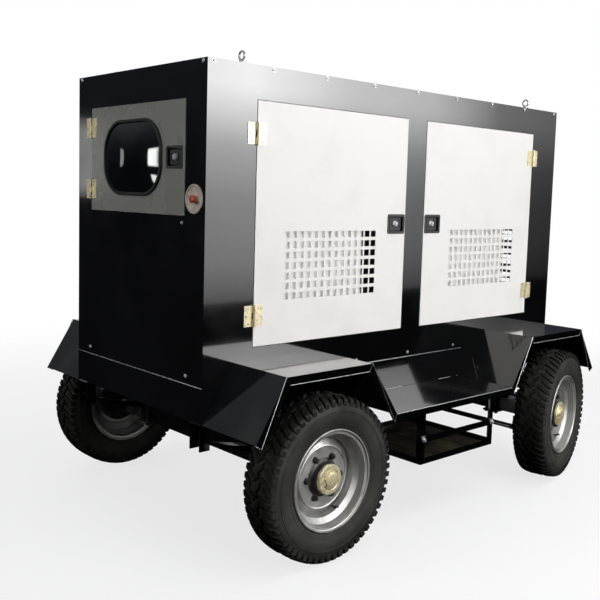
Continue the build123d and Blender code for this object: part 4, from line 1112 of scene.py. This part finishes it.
def engine_details():
    x0, x1 = ENGINE_LO.x, ENGINE_LO.x + 0.7
    crank = 1.1325

    def covers(piece):
        for i in range(4):
            x = x0 + 0.14 + i * 0.135
            piece.block((x, -0.1, crank + 0.419), (x + 0.118, 0.1, crank + 0.455), 0.014)
            for side in (-1, 1):
                piece.hexagon(Vector((x + 0.059, side * 0.06, crank + 0.455)), (0, 0, 1), 0.022, 0.01)
        for i in range(6):
            x = x0 + 0.13 + i * 0.092
            for side in (-1, 1):
                piece.block((x, min(side * 0.13, side * 0.168), crank - 0.06),
                            (x + 0.03, max(side * 0.13, side * 0.168), crank + 0.27), 0.005)
    made("engine_covers", "engine_paint", "body", covers)

    def manifold(piece):
        for i in range(4):
            x = x0 + 0.19 + i * 0.135
            piece.tube(((x, -0.15, crank + 0.36), (x, -0.19, crank + 0.36),
                    (x + 0.01, -0.205, crank + 0.33)), 0.022)
        piece.tube(((x0 + 0.17, -0.205, crank + 0.325), (x0 + 0.62, -0.205, crank + 0.325)), 0.03, 16)
        piece.stud(Vector((x0 + 0.4, -0.235, crank + 0.3)), (0, -1, 0),
                    ((0.0, 0.06), (0.018, 0.072), (0.05, 0.072), (0.062, 0.05)), 32)
    made("exhaust_manifold", "exhaust_steel", "body", manifold)

    def filters(piece):
        for i in range(3):
            at = Vector((x0 + 0.22 + i * 0.14, 0.205, crank + 0.02))
            piece.stud(at, (0, 0, -1), ((-0.03, 0.03), (0.0, 0.044), (0.005, 0.048),
                                         (0.155, 0.048), (0.168, 0.04)), 32)
        at = Vector((x0 + 0.18, 0.265, crank + 0.3))
        piece.stud(at, (1, 0, 0), ((0.0, 0.085), (0.012, 0.092), (0.3, 0.092),
                                    (0.312, 0.085), (0.312, 0.06), (0.33, 0.055)), 36)
    made("engine_filters", "fan_plastic", "body", filters)

    def pipes(piece):
        for i in range(4):
            x = x0 + 0.19 + i * 0.135
            piece.tube(((x, 0.165, crank + 0.3), (x, 0.19, crank + 0.36), (x + 0.01, 0.16, crank + 0.43),
                        (x + 0.01, 0.1, crank + 0.445)), 0.0045, 8)
        piece.block((x0 + 0.2, 0.16, crank + 0.2), (x0 + 0.58, 0.195, crank + 0.3), 0.008)
    made("fuel_lines", "bright_steel", "body", pipes)

    def pulleys(piece):
        for at, radius in ((Vector((x1 + 0.012, 0, crank - 0.05)), 0.085),
                           (Vector((x1 + 0.012, 0.19, crank + 0.2)), 0.04)):
            piece.stud(at, (1, 0, 0), ((0.0, radius), (0.004, radius), (0.01, radius - 0.008),
                                        (0.016, radius), (0.02, radius)), 36)
        piece.stud(Vector((x1 - 0.14, 0.19, crank + 0.2)), (1, 0, 0),
                    ((0.0, 0.055), (0.14, 0.06), (0.15, 0.045)), 28)
    made("engine_pulleys", "hub_iron", "body", pulleys)


engine_details()
GEN_LO, GEN_HI = box("alternator")


def alternator_details(piece):
    centre = Vector((GEN_LO.x, 0, 1.1325))
    for k in range(28):
        angle = math.tau * k / 28
        if -2.2 < math.sin(angle) * 3 - 0.0 < -1.9:
            continue
        turn = Matrix.Rotation(angle, 3, "X")
        piece.block(centre + Vector((0.1, -0.004, 0.228)), centre + Vector((0.44, 0.004, 0.25)), 0.002,
                    turn, centre)
    for i in range(7):
        z = 1.0425 + i * 0.03
        piece.block((GEN_LO.x - 0.004, -0.09, z), (GEN_LO.x + 0.003, 0.09, z + 0.01), 0.001)


made("alternator_fins", "engine_paint", "body", alternator_details)
RAD_LO, RAD_HI = box("radiator")


def radiator_core(piece):
    for x in (RAD_LO.x - 0.003, RAD_HI.x - 0.001):
        for i in range(30):
            z = RAD_LO.z + 0.09 + i * 0.0285
            piece.block((x, -0.33, z), (x + 0.004, 0.33, z + 0.012), 0.001)
        for y in (-0.355, 0.335):
            piece.block((x - 0.001, y, RAD_LO.z + 0.06), (x + 0.005, y + 0.02, RAD_LO.z + 0.97), 0.001)


made("radiator_core", "radiator_aluminium", "body", radiator_core)


def hoses(piece):
    x = RAD_LO.x
    piece.tube(((x, -0.2, 1.64), (x - 0.06, -0.2, 1.64), (x - 0.13, -0.17, 1.6), (x - 0.17, -0.1, 1.53),
                (x - 0.2, -0.02, 1.5)), 0.024, 16)
    piece.tube(((x, 0.22, 0.88), (x - 0.07, 0.22, 0.88), (x - 0.15, 0.18, 0.93), (x - 0.19, 0.1, 1.0)),
            0.024, 16)


made("radiator_hoses", "seal_rubber", "body", hoses)
TANK_LO, TANK_HI = box("fuel_tank")


def tank_bands(piece):
    for y in (-0.26, 0.26):
        x0, x1, z1 = TANK_LO.x - 0.002, TANK_HI.x + 0.002, TANK_LO.z + 0.382
        piece.block((x0, y - 0.018, TANK_LO.z), (x0 + 0.003, y + 0.018, z1), 0.0008)
        piece.block((x1 - 0.003, y - 0.018, TANK_LO.z), (x1, y + 0.018, z1), 0.0008)
        piece.block((x0, y - 0.018, z1 - 0.003), (x1, y + 0.018, z1), 0.0008)


made("tank_bands", "bright_steel", "body", tank_bands)
PIPE_LO, PIPE_HI = box("exhaust_silencer")


def silencer_bands(piece):
    for x in (PIPE_LO.x + 0.1, PIPE_LO.x + 0.7):
        piece.lathe(Vector((x, -0.2, 1.8625)), (1, 0, 0),
                    ((0.0, 0.089), (0.0, 0.0935), (0.03, 0.0935), (0.03, 0.089)), 40, closed=True)
        piece.block((x + 0.005, -0.206, 1.9545), (x + 0.025, -0.194, 2.0725), 0.001)


made("silencer_bands", "bright_steel", "body", silencer_bands)


# =====================================================================================
# Stage: pale floor, white backdrop, soft lights and reflection cards
# =====================================================================================
def staged(obj, camera=True, diffuse=True, glossy=True, shadow=True):
    obj.visible_camera = camera
    obj.visible_diffuse = diffuse
    obj.visible_glossy = glossy
    obj.visible_transmission = glossy
    obj.visible_shadow = shadow
    return obj


def emission_material(name, colour, strength):
    material = bpy.data.materials.new(name)
    material.use_nodes = True
    tree = material.node_tree
    tree.nodes.remove(tree.nodes["Principled BSDF"])
    glow = tree.nodes.new("ShaderNodeEmission")
    glow.inputs["Color"].default_value = rgba(colour)
    glow.inputs["Strength"].default_value = strength
    tree.links.new(glow.outputs[0], tree.nodes["Material Output"].inputs["Surface"])
    return material, tree, glow


FLOOR_GLOW = 0.74


def floor_material():
    """Pale matt floor near the object that fades into plain white far away."""
    material, tree, glow = emission_material("floor", (1.0, 1.0, 1.0), 1.0)
    nodes, links = tree.nodes, tree.links
    matt = nodes.new("ShaderNodeBsdfDiffuse")
    place = nodes.new("ShaderNodeTexCoord").outputs["Object"]
    noise = nodes.new("ShaderNodeTexNoise")
    noise.inputs["Scale"].default_value = 3.0
    links.new(place, noise.inputs["Vector"])
    tone = nodes.new("ShaderNodeValToRGB")
    tone.color_ramp.elements[0].color = (0.84, 0.84, 0.84, 1)
    tone.color_ramp.elements[1].color = (0.88, 0.88, 0.88, 1)
    links.new(noise.outputs["Fac"], tone.inputs["Fac"])
    links.new(tone.outputs["Color"], matt.inputs["Color"])
    length = nodes.new("ShaderNodeVectorMath")
    length.operation = "LENGTH"
    links.new(place, length.inputs[0])
    fade = nodes.new("ShaderNodeMapRange")
    fade.inputs["From Min"].default_value = 2.6
    fade.inputs["From Max"].default_value = 6.0
    fade.interpolation_type = "SMOOTHSTEP"
    links.new(length.outputs["Value"], fade.inputs["Value"])
    blend = nodes.new("ShaderNodeMixShader")
    links.new(fade.outputs["Result"], blend.inputs["Fac"])
    fade.inputs["To Min"].default_value = FLOOR_GLOW
    links.new(matt.outputs[0], blend.inputs[1])
    links.new(glow.outputs[0], blend.inputs[2])
    links.new(blend.outputs[0], nodes["Material Output"].inputs["Surface"])
    return material


def flat_object(name, corners, material):
    data = bpy.data.meshes.new(name)
    data.from_pydata(corners, [], [range(len(corners))])
    obj = bpy.data.objects.new(name, data)
    bpy.context.scene.collection.objects.link(obj)
    data.materials.append(material)
    return obj


FLOOR_REACH = 40.0
floor = flat_object("floor", [(math.cos(math.tau * k / 48) * FLOOR_REACH,
        math.sin(math.tau * k / 48) * FLOOR_REACH,
                               0.0) for k in range(48)], floor_material())
staged(floor, diffuse=False, glossy=False)

backdrop_mesh = bmesh.new()
bmesh.ops.create_uvsphere(backdrop_mesh, u_segments=48, v_segments=24, radius=FLOOR_REACH)
backdrop_data = bpy.data.meshes.new("backdrop")
backdrop_mesh.to_mesh(backdrop_data)
backdrop_mesh.free()
backdrop = bpy.data.objects.new("backdrop", backdrop_data)
bpy.context.scene.collection.objects.link(backdrop)
backdrop_data.materials.append(emission_material("backdrop", (1.0, 1.0, 1.0), 1.0)[0])
staged(backdrop, diffuse=False, glossy=False, shadow=False)


def card(name, corner, width, height, out, stops, fade, strength, diffuse=False):
    """A glowing card that stands on end; stops grade its light upward, fade along its width."""
    along = rise(1).cross(Vector(out)).normalized()
    corner = Vector(corner)
    up = rise(height)
    corners = [corner, corner + along * width, corner + along * width + up, corner + up]
    material, tree, glow = emission_material(name, (1.0, 1.0, 1.0), strength)
    obj = flat_object(name, [p - corner for p in corners], material)
    obj.location = corner
    nodes, links = tree.nodes, tree.links
    split = nodes.new("ShaderNodeSeparateXYZ")
    place = nodes.new("ShaderNodeTexCoord").outputs["Generated"]
    links.new(place, split.inputs[0])
    ramps = []
    for source, grades in ((split.outputs["Z"], stops),
                           (split.outputs["X" if abs(along.x) > 0.5 else "Y"], fade)):
        ramp = nodes.new("ShaderNodeValToRGB")
        band = ramp.color_ramp
        while len(band.elements) < len(grades):
            band.elements.new(0.5)
        for element, (position, value) in zip(band.elements, grades):
            element.position = position
            element.color = grey(value)
        links.new(source, ramp.inputs["Fac"])
        ramps.append(ramp.outputs["Color"])
    product = nodes.new("ShaderNodeMix")
    product.data_type = "RGBA"
    product.blend_type = "MULTIPLY"
    product.inputs[0].default_value = 1.0
    links.new(ramps[0], product.inputs[6])
    links.new(ramps[1], product.inputs[7])
    links.new(product.outputs[2], glow.inputs["Color"])
    return staged(obj, camera=False, diffuse=diffuse)


# The right-hand card: brightest above the canopy's eaves, fading down and towards +X.
card("card_right", (-4.0, -6.0, 0.2), 14.5, 4.3, (0, -1, 0),
     ((0.0, 0.12), (0.12, 0.24), (0.3, 0.31), (0.45, 0.5), (0.62, 1.2), (1.0, 1.1)),
     ((0.0, 0.25), (0.35, 0.9), (0.46, 1.0), (0.58, 0.55), (0.7, 0.4), (0.82, 0.1), (1.0, 0.05)), 9.0)
EVEN = ((0.0, 0.3), (0.15, 1.0), (0.85, 1.0), (1.0, 0.3))
card("card_left", (5.0, 6.0, 0.2), 7.0, 4.3, (0, 1, 0),
     ((0.0, 0.05), (0.3, 0.3), (0.7, 1.0), (1.0, 1.0)),
     ((0.0, 0.2), (0.5, 1.0), (1.0, 0.2)), 3.0)
card("card_end", (-4.55, 6.0, 1.45), 0.5, 0.95, (0, 1, 0), EVEN, EVEN, 1.1)
for y, z, wide, tall, power in ((6.2, 1.4, 1.8, 1.2, 9.0), (5.9, -0.5, 1.3, 1.1, 7.0),
        (5.2, -2.2, 0.6, 0.8, 6.0)):
    card(f"card_window_{power:.0f}", (-9.0, y, z), wide, tall, (-1, 0, 0), EVEN, EVEN, power)


def area(name, at, target, size, power, colour=(1, 1, 1)):
    data = bpy.data.lights.new(name, "AREA")
    data.shape = "RECTANGLE"
    data.size, data.size_y = size
    data.energy = power
    data.color = colour
    obj = bpy.data.objects.new(name, data)
    bpy.context.scene.collection.objects.link(obj)
    obj.location = at
    obj.rotation_euler = (Vector(target) - Vector(at)).to_track_quat("-Z", "Y").to_euler()
    obj.visible_camera = False
    obj.visible_glossy = False
    return obj


area("key_right", (0.0, -6.6, 2.0), (-0.4, -0.5, 1.2), (6.0, 3.0), 860, (1.0, 0.99, 0.98))
area("top", (-0.2, -3.0, 6.0), (-0.4, -0.6, 0.8), (4.0, 3.0), 110)
area("fill_left", (0.5, 7.0, 4.5), (-0.4, 0.5, 1.1), (5.0, 3.0), 200)
area("fill_front", (7.0, -1.0, 4.0), (0.5, 0.0, 1.1), (4.0, 3.0), 160)
area("fill_rear", (-7.0, 1.5, 3.4), (-1.8, 0.0, 1.2), (3.0, 3.0), 125)

world = bpy.data.worlds.new("studio")
bpy.context.scene.world = world
world.use_nodes = True
tree = world.node_tree
split = tree.nodes.new("ShaderNodeSeparateXYZ")
tree.links.new(tree.nodes.new("ShaderNodeTexCoord").outputs["Generated"], split.inputs[0])
lift = tree.nodes.new("ShaderNodeMapRange")
lift.inputs["From Min"].default_value = -1.0
tree.links.new(split.outputs["Z"], lift.inputs["Value"])
sky = tree.nodes.new("ShaderNodeValToRGB")
SKY = ((0.0, (0.004, 0.004, 0.004)), (0.5, (0.005, 0.005, 0.006)), (0.57, (0.03, 0.036, 0.046)),
       (0.75, (0.2, 0.21, 0.225)), (1.0, (0.35, 0.35, 0.35)))
while len(sky.color_ramp.elements) < len(SKY):
    sky.color_ramp.elements.new(0.5)
for element, (position, colour) in zip(sky.color_ramp.elements, SKY):
    element.position = position
    element.color = rgba(colour)
tree.links.new(lift.outputs["Result"], sky.inputs["Fac"])
tree.links.new(sky.outputs["Color"], tree.nodes["Background"].inputs["Color"])
tree.nodes["Background"].inputs["Strength"].default_value = 0.8

# ---- camera ----
camera_data = bpy.data.cameras.new("camera")
camera_data.lens = CAMERA_LENS
camera_data.sensor_width = 36.0
camera_data.shift_x, camera_data.shift_y = CAMERA_SHIFT
camera_data.clip_end = 200.0
camera = bpy.data.objects.new("camera", camera_data)
bpy.context.scene.collection.objects.link(camera)
turn = (Matrix.Rotation(math.radians(CAMERA_YAW - 90), 3, "Z")
        @ Matrix.Rotation(math.radians(90 + CAMERA_PITCH), 3, "X")
        @ Matrix.Rotation(math.radians(CAMERA_ROLL), 3, "Z"))
camera.matrix_world = Matrix.Translation(Vector(CAMERA_AT)) @ turn.to_4x4()
bpy.context.scene.camera = camera
bpy.context.scene.view_settings.view_transform = "Standard"
